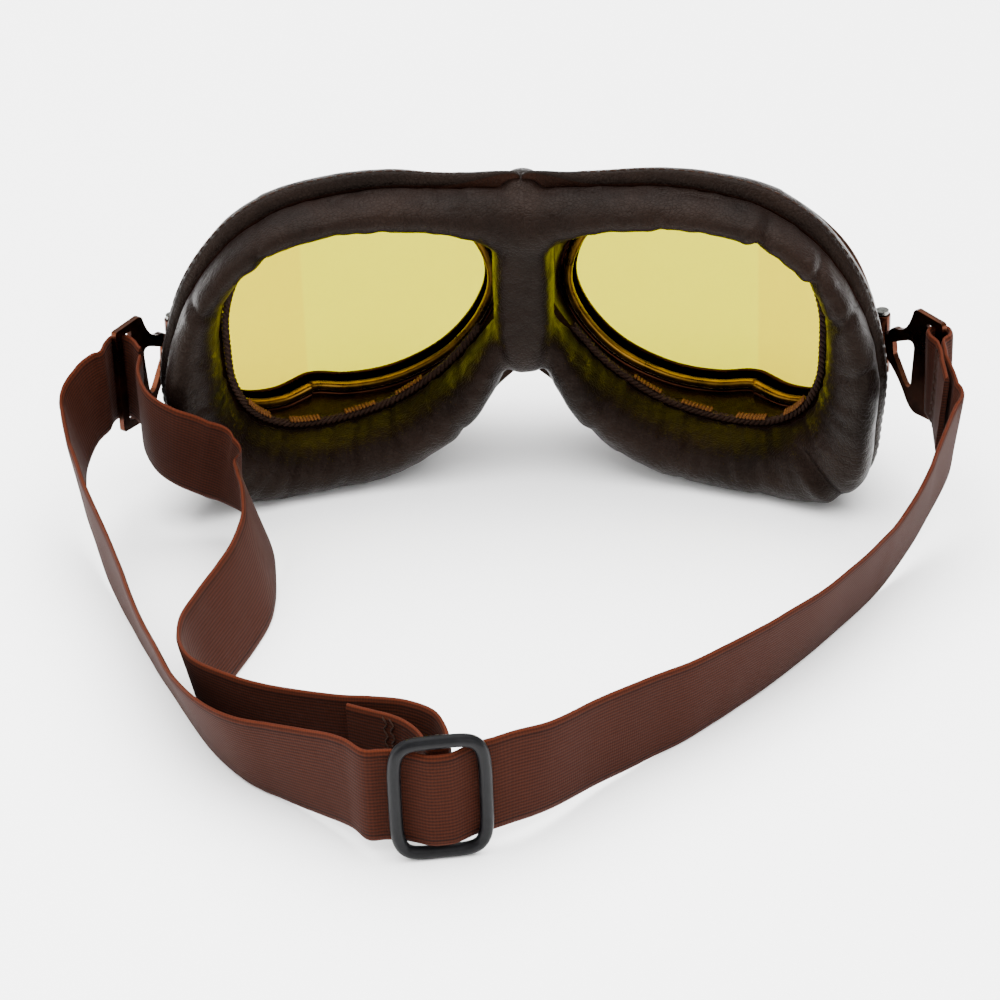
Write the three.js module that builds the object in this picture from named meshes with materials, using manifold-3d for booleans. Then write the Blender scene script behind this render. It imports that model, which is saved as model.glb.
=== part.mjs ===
// Motorcycle goggles: two hinged eye frames with bent lenses, a padded face mask,
// swinging strap brackets and an adjustable webbing strap with a slider.
// Millimetres. X to the wearer's right as seen from behind the mask, Y forwards through
// the lenses, Z up. The goggles stand on Z = 0 with the strap lying behind them.
import * as THREE from "three";
import { ParametricGeometry } from "three/addons/geometries/ParametricGeometry.js";
import { mergeVertices } from "three/addons/utils/BufferGeometryUtils.js";
import Module from "manifold-3d";

const wasm = await Module();
wasm.setup();

// ---------------------------------------------------------------- driving sizes
const maskHalfWidth = 96; // centre of the nose to the outer seam at the temple
const maskHeight = 86; // lowest seam to highest seam
const maskWrap = 28; // how far the temples lie behind the nose
const padDepth = 14; // foam pad, from its seam to the face
const seamForward = 6; // where the pad's seam lies at the nose
const noseHalfWidth = 5.6; // leather nose piece, half its width at the face
const coverWall = 1.8; // leather side wall with its lining
const wallBulge = 2.8; // how far the side wall swells outwards half way
const coverGap = 0.4; // between leather and what it meets

const lensWidth = (25 / 32) * maskHalfWidth; // sight opening of one eye, across
const lensHeight = (27 / 43) * maskHeight; // sight opening of one eye, up
const lensNoseX = 12.5; // nearest point of the sight opening to the nose
const lensLowZ = 11.5; // lowest point of the sight opening
const lensThickness = 1.6;
const creaseX = lensNoseX + (2 / 3) * lensWidth; // the lens is bent along this upright line
const lensNoseY = 37; // lens plane at its nose end
const frontPaneSlope = 0.12; // how fast the front pane falls back
const sidePaneSlope = 0.63; // how fast the side pane falls back

const rimWidth = 5.2; // metal frame, from the sight opening outwards
const rimFront = 3.2; // frame in front of the lens's middle plane
const rimBack = 4.0; // frame behind it
const rimWall = 1.8;
const lensOverlap = 2.9; // lens under the frame's lip
const partGap = 0.4; // between stacked rigid pieces

const pinClearance = 0.15;
const knuckleGap = 0.4;
const nosePinRadius = 1.1;
const noseKnuckleRadius = 2.5;
const noseHingeY = 33.5;
const noseHingeZ = 43.5;
const noseHingeHeight = 20;
const leafThickness = 1.2;
const leafHeight = 14;
const rivetRadius = 1.2;
const rivetHeadRadius = 1.9;
const rivetSpacing = 8;

const templeHingeZ = 35.2;
const templeHingeHeight = 17;
const templePinRadius = 1.0;
const templeKnuckleRadius = 2.3;
const lugThickness = 1.4;
const lugHeight = 14;

const bracketLength = 24; // hinge axis to the outer edge of the strap bar
const bracketThickness = 1.6;
const barWidth = 2.6;
const slotWidth = 3.6;
const bracketSwing = { right: 50, left: 58 }; // degrees behind the X axis at rest

const strapWidth = 25;
const strapThickness = 1.5;
const strapSpread = maskHalfWidth / 96; // the strap's route was laid out round a mask of 96
const strapGap = 0.4; // from the strap to the metal it passes
const strapCut = 0.8; // between the lengths the strap is divided into
const bracketHalfHeight = strapWidth / 2 + 2.9;
const sliderWidth = 24;
const sliderHeight = strapWidth + 8;
const sliderBar = 3.0;
const sliderPlace = new THREE.Vector3(-11.8, -179.5, sliderHeight / 2 + 0.1);
const sliderYaw = 10; // degrees, along the strap

// ---------------------------------------------------------------- colours
const finish = (color, roughness, metalness) =>
  new THREE.MeshStandardMaterial({ color, roughness, metalness });
const leather = finish("#362c28", 0.6, 0);
const innerLeather = finish("#3f342d", 0.7, 0);
const copper = finish("#6b4038", 0.35, 1);
const antiqueBrass = finish("#a8823c", 0.35, 1);
const steel = finish("#c9c9c6", 0.3, 1);
const yellowLens = finish("#ffe800", 0.05, 0);
const blackRubber = finish("#1d1a17", 0.7, 0);
const webbing = finish("#5a2f22", 0.9, 0);
const blackPlastic = finish("#2c2e33", 0.5, 0);

const goggles = new THREE.Group();

// ---------------------------------------------------------------- solid helpers
function bare(geometry) {
  const copy = geometry.index ? geometry.toNonIndexed() : geometry.clone();
  for (const name of Object.keys(copy.attributes)) {
    if (name !== "position") copy.deleteAttribute(name);
  }
  return mergeVertices(copy, 1e-4);
}

// Drops triangles that shrank to a line, and turns the rest outwards.
function tidySurface(geometry) {
  const merged = bare(geometry);
  const position = merged.attributes.position;
  const corner = new THREE.Vector3();
  const second = new THREE.Vector3();
  const third = new THREE.Vector3();
  const kept = [];
  let volume = 0;
  for (let i = 0; i < merged.index.count; i += 3) {
    const [a, b, c] = [0, 1, 2].map((k) => merged.index.getX(i + k));
    if (a === b || b === c || c === a) continue;
    kept.push([a, b, c]);
    corner.fromBufferAttribute(position, a);
    second.fromBufferAttribute(position, b);
    third.fromBufferAttribute(position, c);
    volume += corner.dot(second.cross(third));
  }
  const outwards = volume > 0 ? kept : kept.map(([a, b, c]) => [a, c, b]);
  return new THREE.BufferGeometry()
    .setAttribute("position", position.clone())
    .setIndex(outwards.flat());
}

// A surface through rings of equal length: a closed loop of rings, or a bar with flat ends.
function loft(rings, isLoop) {
  const count = rings[0].length;
  const middle = (ring) =>
    ring.reduce((sum, point) => sum.add(point), new THREE.Vector3()).divideScalar(count);
  const rows = isLoop
    ? [...rings, rings[0]]
    : [Array(count).fill(middle(rings[0])), ...rings, Array(count).fill(middle(rings.at(-1)))];
  const place = (u, v, target) => {
    const row = rows[Math.round(u * (rows.length - 1))];
    target.copy(row[Math.round(v * count) % count]);
  };
  return tidySurface(new ParametricGeometry(place, rows.length - 1, count));
}

function solidOf(geometry) {
  const merged = bare(geometry);
  return new wasm.Manifold(
    new wasm.Mesh({
      numProp: 3,
      vertProperties: new Float32Array(merged.attributes.position.array),
      triVerts: new Uint32Array(merged.index.array),
    }),
  );
}

function geometryOf(solid) {
  const mesh = solid.getMesh();
  return new THREE.BufferGeometry()
    .setAttribute("position", new THREE.BufferAttribute(new Float32Array(mesh.vertProperties), 3))
    .setIndex(Array.from(mesh.triVerts));
}

const joined = (first, ...others) =>
  geometryOf(others.reduce((sum, other) => sum.add(solidOf(other)), solidOf(first)));
const cut = (body, ...tools) =>
  geometryOf(tools.reduce((left, tool) => left.subtract(solidOf(tool)), solidOf(body)));

function addPart(name, geometry, material) {
  const mesh = new THREE.Mesh(geometry, material);
  mesh.name = name;
  goggles.add(mesh);
  return mesh;
}

function mirroredX(geometry) {
  const copy = geometry.clone();
  copy.applyMatrix4(new THREE.Matrix4().makeScale(-1, 1, 1));
  return tidySurface(copy);
}

// An upright cylinder between two heights.
function uprightCylinder(x, y, lowZ, highZ, radius, sides = 20) {
  return new THREE.CylinderGeometry(radius, radius, highZ - lowZ, sides)
    .rotateX(Math.PI / 2)
    .translate(x, y, (lowZ + highZ) / 2);
}

const boxBetween = (low, high) =>
  new THREE.BoxGeometry(high[0] - low[0], high[1] - low[1], high[2] - low[2]).translate(
    (low[0] + high[0]) / 2,
    (low[1] + high[1]) / 2,
    (low[2] + high[2]) / 2,
  );

// ---------------------------------------------------------------- mask outline
// The face mask of one eye, from the top of the nose round the temple to the nose notch.
// Each station is [outer x, outer z, inner x, inner z] as shares of the mask's half width
// and height, so that the outline keeps its shape when the mask changes size.
const noseShare = (noseHalfWidth + coverGap) / maskHalfWidth;
const maskStations = [
  [noseShare, 0.985, noseShare, 0.755],
  [0.2, 0.985, 0.165, 0.835],
  [0.38, 1.0, 0.35, 0.87],
  [0.53, 0.995, 0.51, 0.88],
  [0.68, 0.968, 0.63, 0.86],
  [0.81, 0.893, 0.72, 0.81],
  [0.91, 0.77, 0.79, 0.73],
  [0.97, 0.63, 0.825, 0.62],
  [1.0, 0.48, 0.83, 0.49],
  [0.99, 0.3, 0.82, 0.36],
  [0.97, 0.13, 0.775, 0.25],
  [0.88, 0.03, 0.69, 0.18],
  [0.73, 0.0, 0.585, 0.16],
  [0.58, 0.0, 0.48, 0.17],
  [0.43, 0.008, 0.38, 0.2],
  [0.3, 0.06, 0.285, 0.26],
  [0.19, 0.145, 0.2, 0.34],
  [0.105, 0.26, 0.12, 0.45],
  [noseShare, 0.36, noseShare, 0.56],
];
const outerSeam = new THREE.CatmullRomCurve3(
  maskStations.map(([x, z]) => new THREE.Vector3(x * maskHalfWidth, 0, z * maskHeight)),
);
const innerSeam = new THREE.CatmullRomCurve3(
  maskStations.map(([, , x, z]) => new THREE.Vector3(x * maskHalfWidth, 0, z * maskHeight)),
);
const seamY = (x) => seamForward - maskWrap * (x / maskHalfWidth) ** 2;
const maskSteps = 36;
const lowestZ = 0;

// The foam pad: a domed section between the two seams, flat where it meets the side wall.
function padRing(t) {
  const outer = outerSeam.getPoint(t);
  const inner = innerSeam.getPoint(t);
  const points = [];
  for (const degrees of [0, 25, 55, 90, 125, 155, 180]) {
    const angle = THREE.MathUtils.degToRad(degrees);
    const share = (1 - Math.cos(angle)) / 2;
    const point = outer.clone().lerp(inner, share);
    point.y = seamY(point.x) - padDepth * Math.sin(angle) ** 0.8;
    point.z = Math.max(point.z, lowestZ);
    points.push(point);
  }
  const front = outer.clone().lerp(inner, 0.5);
  front.y = seamY(front.x);
  points.push(front);
  return points;
}
const padRings = Array.from({ length: maskSteps + 1 }, (_, i) => padRing(i / maskSteps));
const rightPad = loft(padRings, false);
addPart("face_pad_right", rightPad, leather);
addPart("face_pad_left", mirroredX(rightPad), leather);

// ---------------------------------------------------------------- lens outline
// The sight opening as shares of its width and height, from the nose side round below.
const sightShares = [
  [0.0, 0.58],
  [0.035, 0.4],
  [0.16, 0.19],
  [0.35, 0.055],
  [0.52, 0.02],
  [0.645, 0.035],
  [0.78, 0.0],
  [0.9, 0.05],
  [0.98, 0.19],
  [1.0, 0.4],
  [0.985, 0.62],
  [0.91, 0.82],
  [0.77, 0.95],
  [0.58, 1.0],
  [0.37, 0.995],
  [0.18, 0.93],
  [0.06, 0.8],
];
const sightOutline = new THREE.CatmullRomCurve3(
  sightShares.map(
    ([x, z]) => new THREE.Vector3(lensNoseX + x * lensWidth, 0, lensLowZ + z * lensHeight),
  ),
  true,
);
const creaseY = lensNoseY - frontPaneSlope * (creaseX - lensNoseX);
function lensY(x) {
  if (x <= creaseX) return lensNoseY - frontPaneSlope * (x - lensNoseX);
  return creaseY - sidePaneSlope * (x - creaseX);
}
// Forward direction of the pane at x, in plan.
function paneNormal(x) {
  const slope = x <= creaseX ? frontPaneSlope : sidePaneSlope;
  const kink = (frontPaneSlope + sidePaneSlope) / 2;
  return new THREE.Vector3(Math.abs(x - creaseX) < 0.01 ? kink : slope, 1, 0).normalize();
}

// Points round the sight opening with their outward and forward directions. The samples
// nearest the crease move onto it, so that the bend stays sharp.
const sightSteps = 56;
function sightFrames() {
  const samples = Array.from({ length: sightSteps }, (_, i) => {
    const point = sightOutline.getPoint(i / sightSteps);
    const tangent = sightOutline.getTangent(i / sightSteps);
    return { point, outward: new THREE.Vector3(tangent.z, 0, -tangent.x).normalize() };
  });
  const middleZ = lensLowZ + lensHeight / 2;
  for (const isTop of [true, false]) {
    const row = samples.filter(({ point }) => point.z > middleZ === isTop);
    row.sort((a, b) => Math.abs(a.point.x - creaseX) - Math.abs(b.point.x - creaseX));
    row[0].point.x = creaseX;
  }
  return samples;
}
const sightSamples = sightFrames();
const sightCentre = new THREE.Vector3(lensNoseX + lensWidth / 2, 0, lensLowZ + lensHeight / 2);
if (sightSamples[0].outward.dot(sightSamples[0].point.clone().sub(sightCentre)) < 0) {
  sightSamples.forEach(({ outward }) => outward.negate());
}

// A ring round the sight opening with a section given as [outward, forward] pairs.
function sightRing(section) {
  const rings = sightSamples.map(({ point, outward }) =>
    section.map(([out, ahead]) => {
      const place = point.clone().addScaledVector(outward, out);
      const isCrease = Math.abs(point.x - creaseX) < 0.01;
      if (isCrease) place.x = creaseX;
      place.y = lensY(place.x);
      return place.addScaledVector(paneNormal(isCrease ? creaseX : place.x), ahead);
    }),
  );
  return loft(rings, true);
}

const lipBack = lensThickness / 2 + partGap;
const frameSection = [
  [0, lipBack],
  [0, rimFront - 0.6],
  [0.8, rimFront],
  [rimWidth - 1.2, rimFront],
  [rimWidth, rimFront - 1],
  [rimWidth, -rimBack],
  [rimWidth - rimWall, -rimBack],
  [rimWidth - rimWall, lipBack],
];
const rightFrame = sightRing(frameSection);

const gasketFront = -lensThickness / 2 - partGap;
const gasketDepth = 1.4;
const gasketSection = [
  [0.9, gasketFront],
  [lensOverlap, gasketFront],
  [lensOverlap, gasketFront - gasketDepth],
  [0.9, gasketFront - gasketDepth],
];
const rightGasket = sightRing(gasketSection);
addPart("lens_gasket_right", rightGasket, blackRubber);
addPart("lens_gasket_left", mirroredX(rightGasket), blackRubber);

const clampFront = gasketFront - gasketDepth - partGap;
const clampSection = [
  [0.5, clampFront],
  [lensOverlap - 0.3, clampFront],
  [lensOverlap - 0.3, clampFront - 1.7],
  [1.2, clampFront - 1.7],
  [0.5, clampFront - 1.1],
];
const rightClamp = sightRing(clampSection);
addPart("clamp_ring_right", rightClamp, antiqueBrass);
addPart("clamp_ring_left", mirroredX(rightClamp), antiqueBrass);

// The lens: a sheet bent along the crease, out to its edge under the frame's lip. It is
// cut from a thick bent slab by the outline's prism, so that both panes stay flat.
function lensSheet() {
  const low = lensLowZ - rimWidth;
  const high = lensLowZ + lensHeight + rimWidth;
  const lastX = lensNoseX + lensWidth + rimWidth;
  const plan = [lensNoseX - rimWidth, creaseX, lastX];
  const edge = (x, ahead) => {
    const point = new THREE.Vector3(x, lensY(x), 0);
    return point.addScaledVector(paneNormal(x === creaseX ? creaseX : x), ahead);
  };
  const half = lensThickness / 2;
  const outline = [...plan.map((x) => edge(x, half)), ...plan.reverse().map((x) => edge(x, -half))];
  const slab = new THREE.ExtrudeGeometry(
    new THREE.Shape(outline.map(({ x, y }) => new THREE.Vector2(x, y))),
    { depth: high - low, bevelEnabled: false },
  ).translate(0, 0, low);
  const edgeLine = sightSamples.map(({ point, outward }) => {
    const place = point.clone().addScaledVector(outward, lensOverlap - 0.2);
    return new THREE.Vector2(place.x, place.z);
  });
  const prism = new THREE.ExtrudeGeometry(new THREE.Shape(edgeLine), {
    depth: 80,
    bevelEnabled: false,
  })
    .rotateX(Math.PI / 2)
    .translate(0, 60, 0);
  return geometryOf(solidOf(tidySurface(slab)).intersect(solidOf(tidySurface(prism))));
}
const rightLens = lensSheet();
addPart("lens_right", rightLens, yellowLens);
addPart("lens_left", mirroredX(rightLens), yellowLens);

// ---------------------------------------------------------------- leather side wall
// From the pad's outer seam forwards to the back of the frame. It bulges outwards between.
const wallBack = -rimBack - coverGap;
function nearestOnRim(outer) {
  // The rim point that faces this seam point, seen from the middle of the eye.
  const angle = Math.atan2(outer.z - sightCentre.z, outer.x - sightCentre.x);
  let best = sightSamples[0];
  let least = Infinity;
  for (const sample of sightSamples) {
    const { point } = sample;
    const turn = Math.atan2(point.z - sightCentre.z, point.x - sightCentre.x) - angle;
    const gap = Math.abs(Math.atan2(Math.sin(turn), Math.cos(turn)));
    if (gap < least) {
      least = gap;
      best = sample;
    }
  }
  return best;
}
function rimPlace(sample, out, ahead) {
  const place = sample.point.clone().addScaledVector(sample.outward, out);
  place.x = Math.max(place.x, noseHalfWidth + coverGap);
  place.y = lensY(place.x);
  return place.addScaledVector(paneNormal(place.x), ahead);
}
function wallRing(t) {
  const outer = outerSeam.getPoint(t);
  const inner = innerSeam.getPoint(t);
  const inwards = inner.clone().sub(outer).normalize();
  const rimSample = nearestOnRim(outer);
  const seamOut = outer.clone();
  seamOut.y = seamY(outer.x) + coverGap;
  const seamIn = seamOut.clone().addScaledVector(inwards, coverWall);
  seamIn.y = seamY(seamIn.x) + coverGap;
  const rimOut = rimPlace(rimSample, rimWidth - 0.1, wallBack);
  const rimIn = rimPlace(rimSample, rimWidth - 0.1 - coverWall, wallBack);
  const middleOut = seamOut.clone().lerp(rimOut, 0.45).addScaledVector(inwards, -wallBulge);
  const middleIn = seamIn.clone().lerp(rimIn, 0.45).addScaledVector(inwards, -wallBulge);
  const ring = [seamOut, middleOut, rimOut, rimIn, middleIn, seamIn];
  ring.forEach((point) => {
    point.z = Math.max(point.z, lowestZ);
    point.x = Math.max(point.x, noseHalfWidth + coverGap);
  });
  return ring;
}
const wallRings = Array.from({ length: maskSteps + 1 }, (_, i) => wallRing(i / maskSteps));
const rightWall = loft(wallRings, false);
addPart("side_wall_right", rightWall, innerLeather);
addPart("side_wall_left", mirroredX(rightWall), innerLeather);

// ---------------------------------------------------------------- nose piece
// The padded leather column between the eyes, from the face forwards to the nose hinge.
// Each section is [y, half width, low z, high z] across the wearer's direction.
const noseFront = noseHingeY - noseKnuckleRadius - coverGap - 3;
const noseLow = 0.345 * maskHeight;
const noseHigh = 0.98 * maskHeight;
const noseSections = [
  [seamForward - padDepth, noseHalfWidth * 0.5, noseLow + 6, noseHigh - 5],
  [seamForward - padDepth + 2.5, noseHalfWidth * 0.85, noseLow + 2, noseHigh - 1.5],
  [seamForward - padDepth + 7, noseHalfWidth, noseLow, noseHigh],
  [seamForward, noseHalfWidth, noseLow - 1, noseHigh],
  [seamForward + 10, noseHalfWidth, noseLow - 3, noseHigh - 6],
  [noseFront, noseHalfWidth, noseLow - 4, lensLowZ + lensHeight + rimWidth - 1],
];
const nosePiece = loft(
  noseSections.map(([y, half, low, high]) => {
    const soft = half * 0.55;
    return [
      [-half, low + soft],
      [-half + soft, low],
      [half - soft, low],
      [half, low + soft],
      [half, high - soft],
      [half - soft, high],
      [-half + soft, high],
      [-half, high - soft],
    ].map(([x, z]) => new THREE.Vector3(x, y, z));
  }),
  false,
);
addPart("nose_piece", nosePiece, leather);

// ---------------------------------------------------------------- nose hinge
// A pin on the centre line, with one leaf riveted to the nose side of each frame. The left
// leaf carries the two end knuckles, the right leaf the middle one.
const noseLow0 = noseHingeZ - noseHingeHeight / 2;
const knuckleHeight = noseHingeHeight / 3;
const noseKnuckle = (index) => [
  noseLow0 + index * knuckleHeight + (index ? knuckleGap / 2 : 0),
  noseLow0 + (index + 1) * knuckleHeight - (index < 2 ? knuckleGap / 2 : 0),
];
const frameNoseX = lensNoseX - rimWidth; // nose side of the frame
const flangeOuter = frameNoseX - rimBack * paneNormal(lensNoseX).x - partGap;
const flangeInner = flangeOuter - leafThickness;
function noseLeaf(side, knuckles) {
  const half = leafHeight / 2;
  const web = boxBetween(
    [0, noseHingeY - leafThickness / 2, noseHingeZ - half],
    [flangeOuter, noseHingeY + leafThickness / 2, noseHingeZ + half],
  );
  const flange = boxBetween(
    [flangeInner, noseHingeY - leafThickness / 2, noseHingeZ - half],
    [flangeOuter, lensNoseY + rimFront - 0.6, noseHingeZ + half],
  );
  const rolls = knuckles.map((index) =>
    uprightCylinder(0, noseHingeY, ...noseKnuckle(index), noseKnuckleRadius),
  );
  const others = [0, 1, 2].filter((index) => !knuckles.includes(index));
  const notches = others.map((index) => {
    const [low, high] = noseKnuckle(index);
    const reach = noseKnuckleRadius + pinClearance + 0.2;
    return uprightCylinder(0, noseHingeY, low - knuckleGap, high + knuckleGap, reach);
  });
  const bore = uprightCylinder(
    0,
    noseHingeY,
    noseLow0 - 1,
    noseLow0 + noseHingeHeight + 1,
    nosePinRadius + pinClearance,
  );
  const holes = rivetHeights.map((z) => acrossCylinder(noseRivetY, z, -1, 12, rivetRadius + 0.25));
  const body = joined(web, flange, ...rolls);
  const leaf = cut(body, ...notches, bore, ...holes);
  return side > 0 ? leaf : mirroredX(leaf);
}
// A cylinder along X.
function acrossCylinder(y, z, lowX, highX, radius, sides = 16) {
  return new THREE.CylinderGeometry(radius, radius, highX - lowX, sides)
    .rotateZ(Math.PI / 2)
    .translate((lowX + highX) / 2, y, z);
}
const rivetHeights = [noseHingeZ - rivetSpacing / 2, noseHingeZ + rivetSpacing / 2];
const noseRivetY = lensNoseY + 0.4;
addPart("nose_leaf_right", noseLeaf(1, [1]), steel);
addPart("nose_leaf_left", noseLeaf(-1, [0, 2]), steel);
const pinHead = uprightCylinder(
  0,
  noseHingeY,
  noseLow0 + noseHingeHeight + 0.3,
  noseLow0 + noseHingeHeight + 1.3,
  nosePinRadius + 0.9,
);
const pinShank = uprightCylinder(
  0,
  noseHingeY,
  noseLow0 - 0.8,
  noseLow0 + noseHingeHeight + 0.8,
  nosePinRadius,
);
addPart("nose_pin", joined(pinShank, pinHead), steel);

const rivetFootX = lensNoseX - lensOverlap - partGap;
rivetHeights.forEach((z, index) => {
  const shank = acrossCylinder(noseRivetY, z, flangeInner - 0.6, rivetFootX, rivetRadius);
  const head = acrossCylinder(
    noseRivetY,
    z,
    flangeInner - 0.3 - 0.9,
    flangeInner - 0.3,
    rivetHeadRadius,
  );
  const rivet = joined(shank, head);
  const level = index ? "upper" : "lower";
  addPart(`nose_rivet_right_${level}`, rivet, steel);
  addPart(`nose_rivet_left_${level}`, mirroredX(rivet), steel);
});
const rivetHoles = rivetHeights.map((z) =>
  acrossCylinder(noseRivetY, z, frameNoseX - 2, rivetFootX + partGap, rivetRadius + 0.3),
);

// ---------------------------------------------------------------- temple hinge
// A lug on the temple side of each frame and the strap bracket that swings on its pin.
const templeEdgeX = lensNoseX + lensWidth + rimWidth;
const templeNormal = paneNormal(templeEdgeX);
const templeAlong = new THREE.Vector3(templeNormal.y, -templeNormal.x, 0);
const templeEdge = new THREE.Vector3(templeEdgeX, lensY(templeEdgeX), templeHingeZ);
const templePlace = (along, ahead) =>
  templeEdge.clone().addScaledVector(templeAlong, along).addScaledVector(templeNormal, ahead);
const knuckleOut = partGap + lugThickness + templeKnuckleRadius + 0.6;
const templeAxis = templePlace(knuckleOut, -rimBack + 1);
const templeLow = templeHingeZ - templeHingeHeight / 2;
const templeHigh = templeHingeZ + templeHingeHeight / 2;
const middleKnuckle = 7.4; // height of the bracket's knuckle
function templeBlock(fromAlong, toAlong, fromAhead, toAhead, low, high) {
  const corners = [
    templePlace(fromAlong, fromAhead),
    templePlace(toAlong, fromAhead),
    templePlace(toAlong, toAhead),
    templePlace(fromAlong, toAhead),
  ].map(({ x, y }) => new THREE.Vector2(x, y));
  return new THREE.ExtrudeGeometry(new THREE.Shape(corners), {
    depth: high - low,
    bevelEnabled: false,
  }).translate(0, 0, low);
}
function templeLug() {
  const half = lugHeight / 2;
  const plate = templeBlock(
    partGap,
    partGap + lugThickness,
    -rimBack,
    rimFront - 1,
    templeHingeZ - half,
    templeHingeZ + half,
  );
  const arm = templeBlock(
    partGap + 0.2,
    knuckleOut,
    -rimBack + 1 - lugThickness / 2,
    -rimBack + 1 + lugThickness / 2,
    templeHingeZ - half,
    templeHingeZ + half,
  );
  const { x, y } = templeAxis;
  const roll = uprightCylinder(x, y, templeLow, templeHigh, templeKnuckleRadius);
  const room = middleKnuckle / 2 + knuckleGap;
  const notch = uprightCylinder(
    x,
    y,
    templeHingeZ - room,
    templeHingeZ + room,
    templeKnuckleRadius + 0.5,
  );
  const bore = uprightCylinder(
    x,
    y,
    templeLow - 1,
    templeHigh + 1,
    templePinRadius + pinClearance,
  );
  return cut(joined(plate, arm, roll), notch, bore);
}
const rightLug = templeLug();
addPart("temple_lug_right", rightLug, copper);
addPart("temple_lug_left", mirroredX(rightLug), copper);
const templePin = joined(
  uprightCylinder(templeAxis.x, templeAxis.y, templeLow - 0.8, templeHigh + 0.8, templePinRadius),
  uprightCylinder(
    templeAxis.x,
    templeAxis.y,
    templeHigh + 0.3,
    templeHigh + 1.2,
    templePinRadius + 0.8,
  ),
);
addPart("temple_pin_right", templePin, steel);
addPart("temple_pin_left", mirroredX(templePin), steel);

// The frame again, now with its rivet holes.
const boredFrame = cut(rightFrame, ...rivetHoles);
addPart("frame_right", boredFrame, copper);
addPart("frame_left", mirroredX(boredFrame), copper);

// Flat bracket in its own plane: x runs from the hinge to the bar, y is height.
function bracketPlate() {
  const reach = bracketLength;
  const top = bracketHalfHeight;
  const neck = middleKnuckle / 2;
  const outline = new THREE.Shape();
  outline.moveTo(1, neck);
  outline.lineTo(3.4, neck);
  outline.quadraticCurveTo(4, 7.2, 7, 6.9);
  outline.quadraticCurveTo(11, 7.5, 13, top - 0.9);
  outline.quadraticCurveTo(13.5, top, 14.5, top);
  outline.lineTo(reach - 1, top - 0.5);
  outline.quadraticCurveTo(reach, top - 0.5, reach, top - 1.5);
  outline.lineTo(reach, -top + 1.3);
  outline.quadraticCurveTo(reach, -top + 0.3, reach - 1, -top + 0.3);
  outline.lineTo(14.5, -top);
  outline.quadraticCurveTo(12, -top, 9.5, -10.5);
  outline.quadraticCurveTo(7, -6.5, 3.4, -neck);
  outline.lineTo(1, -neck);
  outline.closePath();
  const window = new THREE.Shape();
  window.moveTo(5.2, 2.4);
  window.lineTo(11, 5.2);
  window.quadraticCurveTo(13.6, 6, 13.4, 3.2);
  window.lineTo(12.4, -7.6);
  window.quadraticCurveTo(11.6, -9.6, 10, -8);
  window.lineTo(5.6, -1.2);
  window.closePath();
  const slotOuter = reach - barWidth;
  const slotHalf = strapWidth / 2 + strapGap;
  const slot = boxBetween(
    [slotOuter - slotWidth, -bracketThickness, -slotHalf],
    [slotOuter, bracketThickness, slotHalf],
  );
  const sheet = (shape, thickness) =>
    new THREE.ExtrudeGeometry(shape, {
      depth: thickness,
      bevelEnabled: false,
      curveSegments: 6,
    })
      .translate(0, 0, -thickness / 2)
      .rotateX(Math.PI / 2);
  return cut(sheet(outline, bracketThickness), sheet(window, bracketThickness * 2), slot);
}
function bracket(side, swing) {
  const half = middleKnuckle / 2;
  const roll = uprightCylinder(0, 0, -half, half, templeKnuckleRadius);
  const bore = uprightCylinder(0, 0, -half - 1, half + 1, templePinRadius + pinClearance);
  const flat = cut(joined(bracketPlate(), roll), bore)
    .rotateZ(-THREE.MathUtils.degToRad(swing))
    .translate(templeAxis.x, templeAxis.y, templeHingeZ);
  return side > 0 ? flat : mirroredX(flat);
}
addPart("strap_bracket_right", bracket(1, bracketSwing.right), copper);
addPart("strap_bracket_left", bracket(-1, bracketSwing.left), copper);

// ---------------------------------------------------------------- strap
// One elastic band, drawn as ribbons that stand on their lower edges. A route is a list of
// [x, y, height of the lower edge, lean]; the lean in degrees tips the upper edge to the
// right of the way the route runs.
const ribbonSteps = 3; // cross-sections from one station to the next
function routeOf(stations) {
  const edge = new THREE.CatmullRomCurve3(
    stations.map(([x, y, z]) => new THREE.Vector3(x, y, Math.max(z, 0))),
  );
  const leans = new THREE.CatmullRomCurve3(
    stations.map(([, , , lean]) => new THREE.Vector3(lean, 0, 0)),
  );
  const ends = stations.length - 1;
  return { edge, leans, ends };
}
function acrossStrap({ edge, leans }, t) {
  const low = edge.getPoint(t);
  const along = edge.getTangent(t);
  const lean = THREE.MathUtils.degToRad(leans.getPoint(t).x);
  const right = new THREE.Vector3(along.y, -along.x, 0).normalize();
  const up = new THREE.Vector3(0, 0, Math.cos(lean)).addScaledVector(right, Math.sin(lean));
  up.addScaledVector(along, -0.5 * up.dot(along)).normalize();
  const thick = new THREE.Vector3().crossVectors(along, up).normalize();
  thick.multiplyScalar(strapThickness / 2);
  low.z = Math.max(low.z, Math.abs(thick.z));
  const high = low.clone().addScaledVector(up, strapWidth);
  return [
    low.clone().add(thick),
    high.clone().add(thick),
    high.clone().sub(thick),
    low.clone().sub(thick),
  ];
}
// The part of a route between two of its stations, kept half a gap back from a cut end.
function ribbon(route, from, to) {
  const speed = (t) => {
    const near = Math.min(Math.max(t, 0.001), 0.999);
    return route.edge.getPoint(near - 0.001).distanceTo(route.edge.getPoint(near + 0.001)) / 0.002;
  };
  const back = (t) => (t > 0 && t < 1 ? strapCut / 2 / speed(t) : 0);
  const start = from / route.ends;
  const stop = to / route.ends;
  const first = start + back(start);
  const last = stop - back(stop);
  const steps = (to - from) * ribbonSteps;
  const rings = Array.from({ length: steps + 1 }, (_, i) =>
    acrossStrap(route, first + ((last - first) * i) / steps),
  );
  return loft(rings, false);
}

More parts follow.
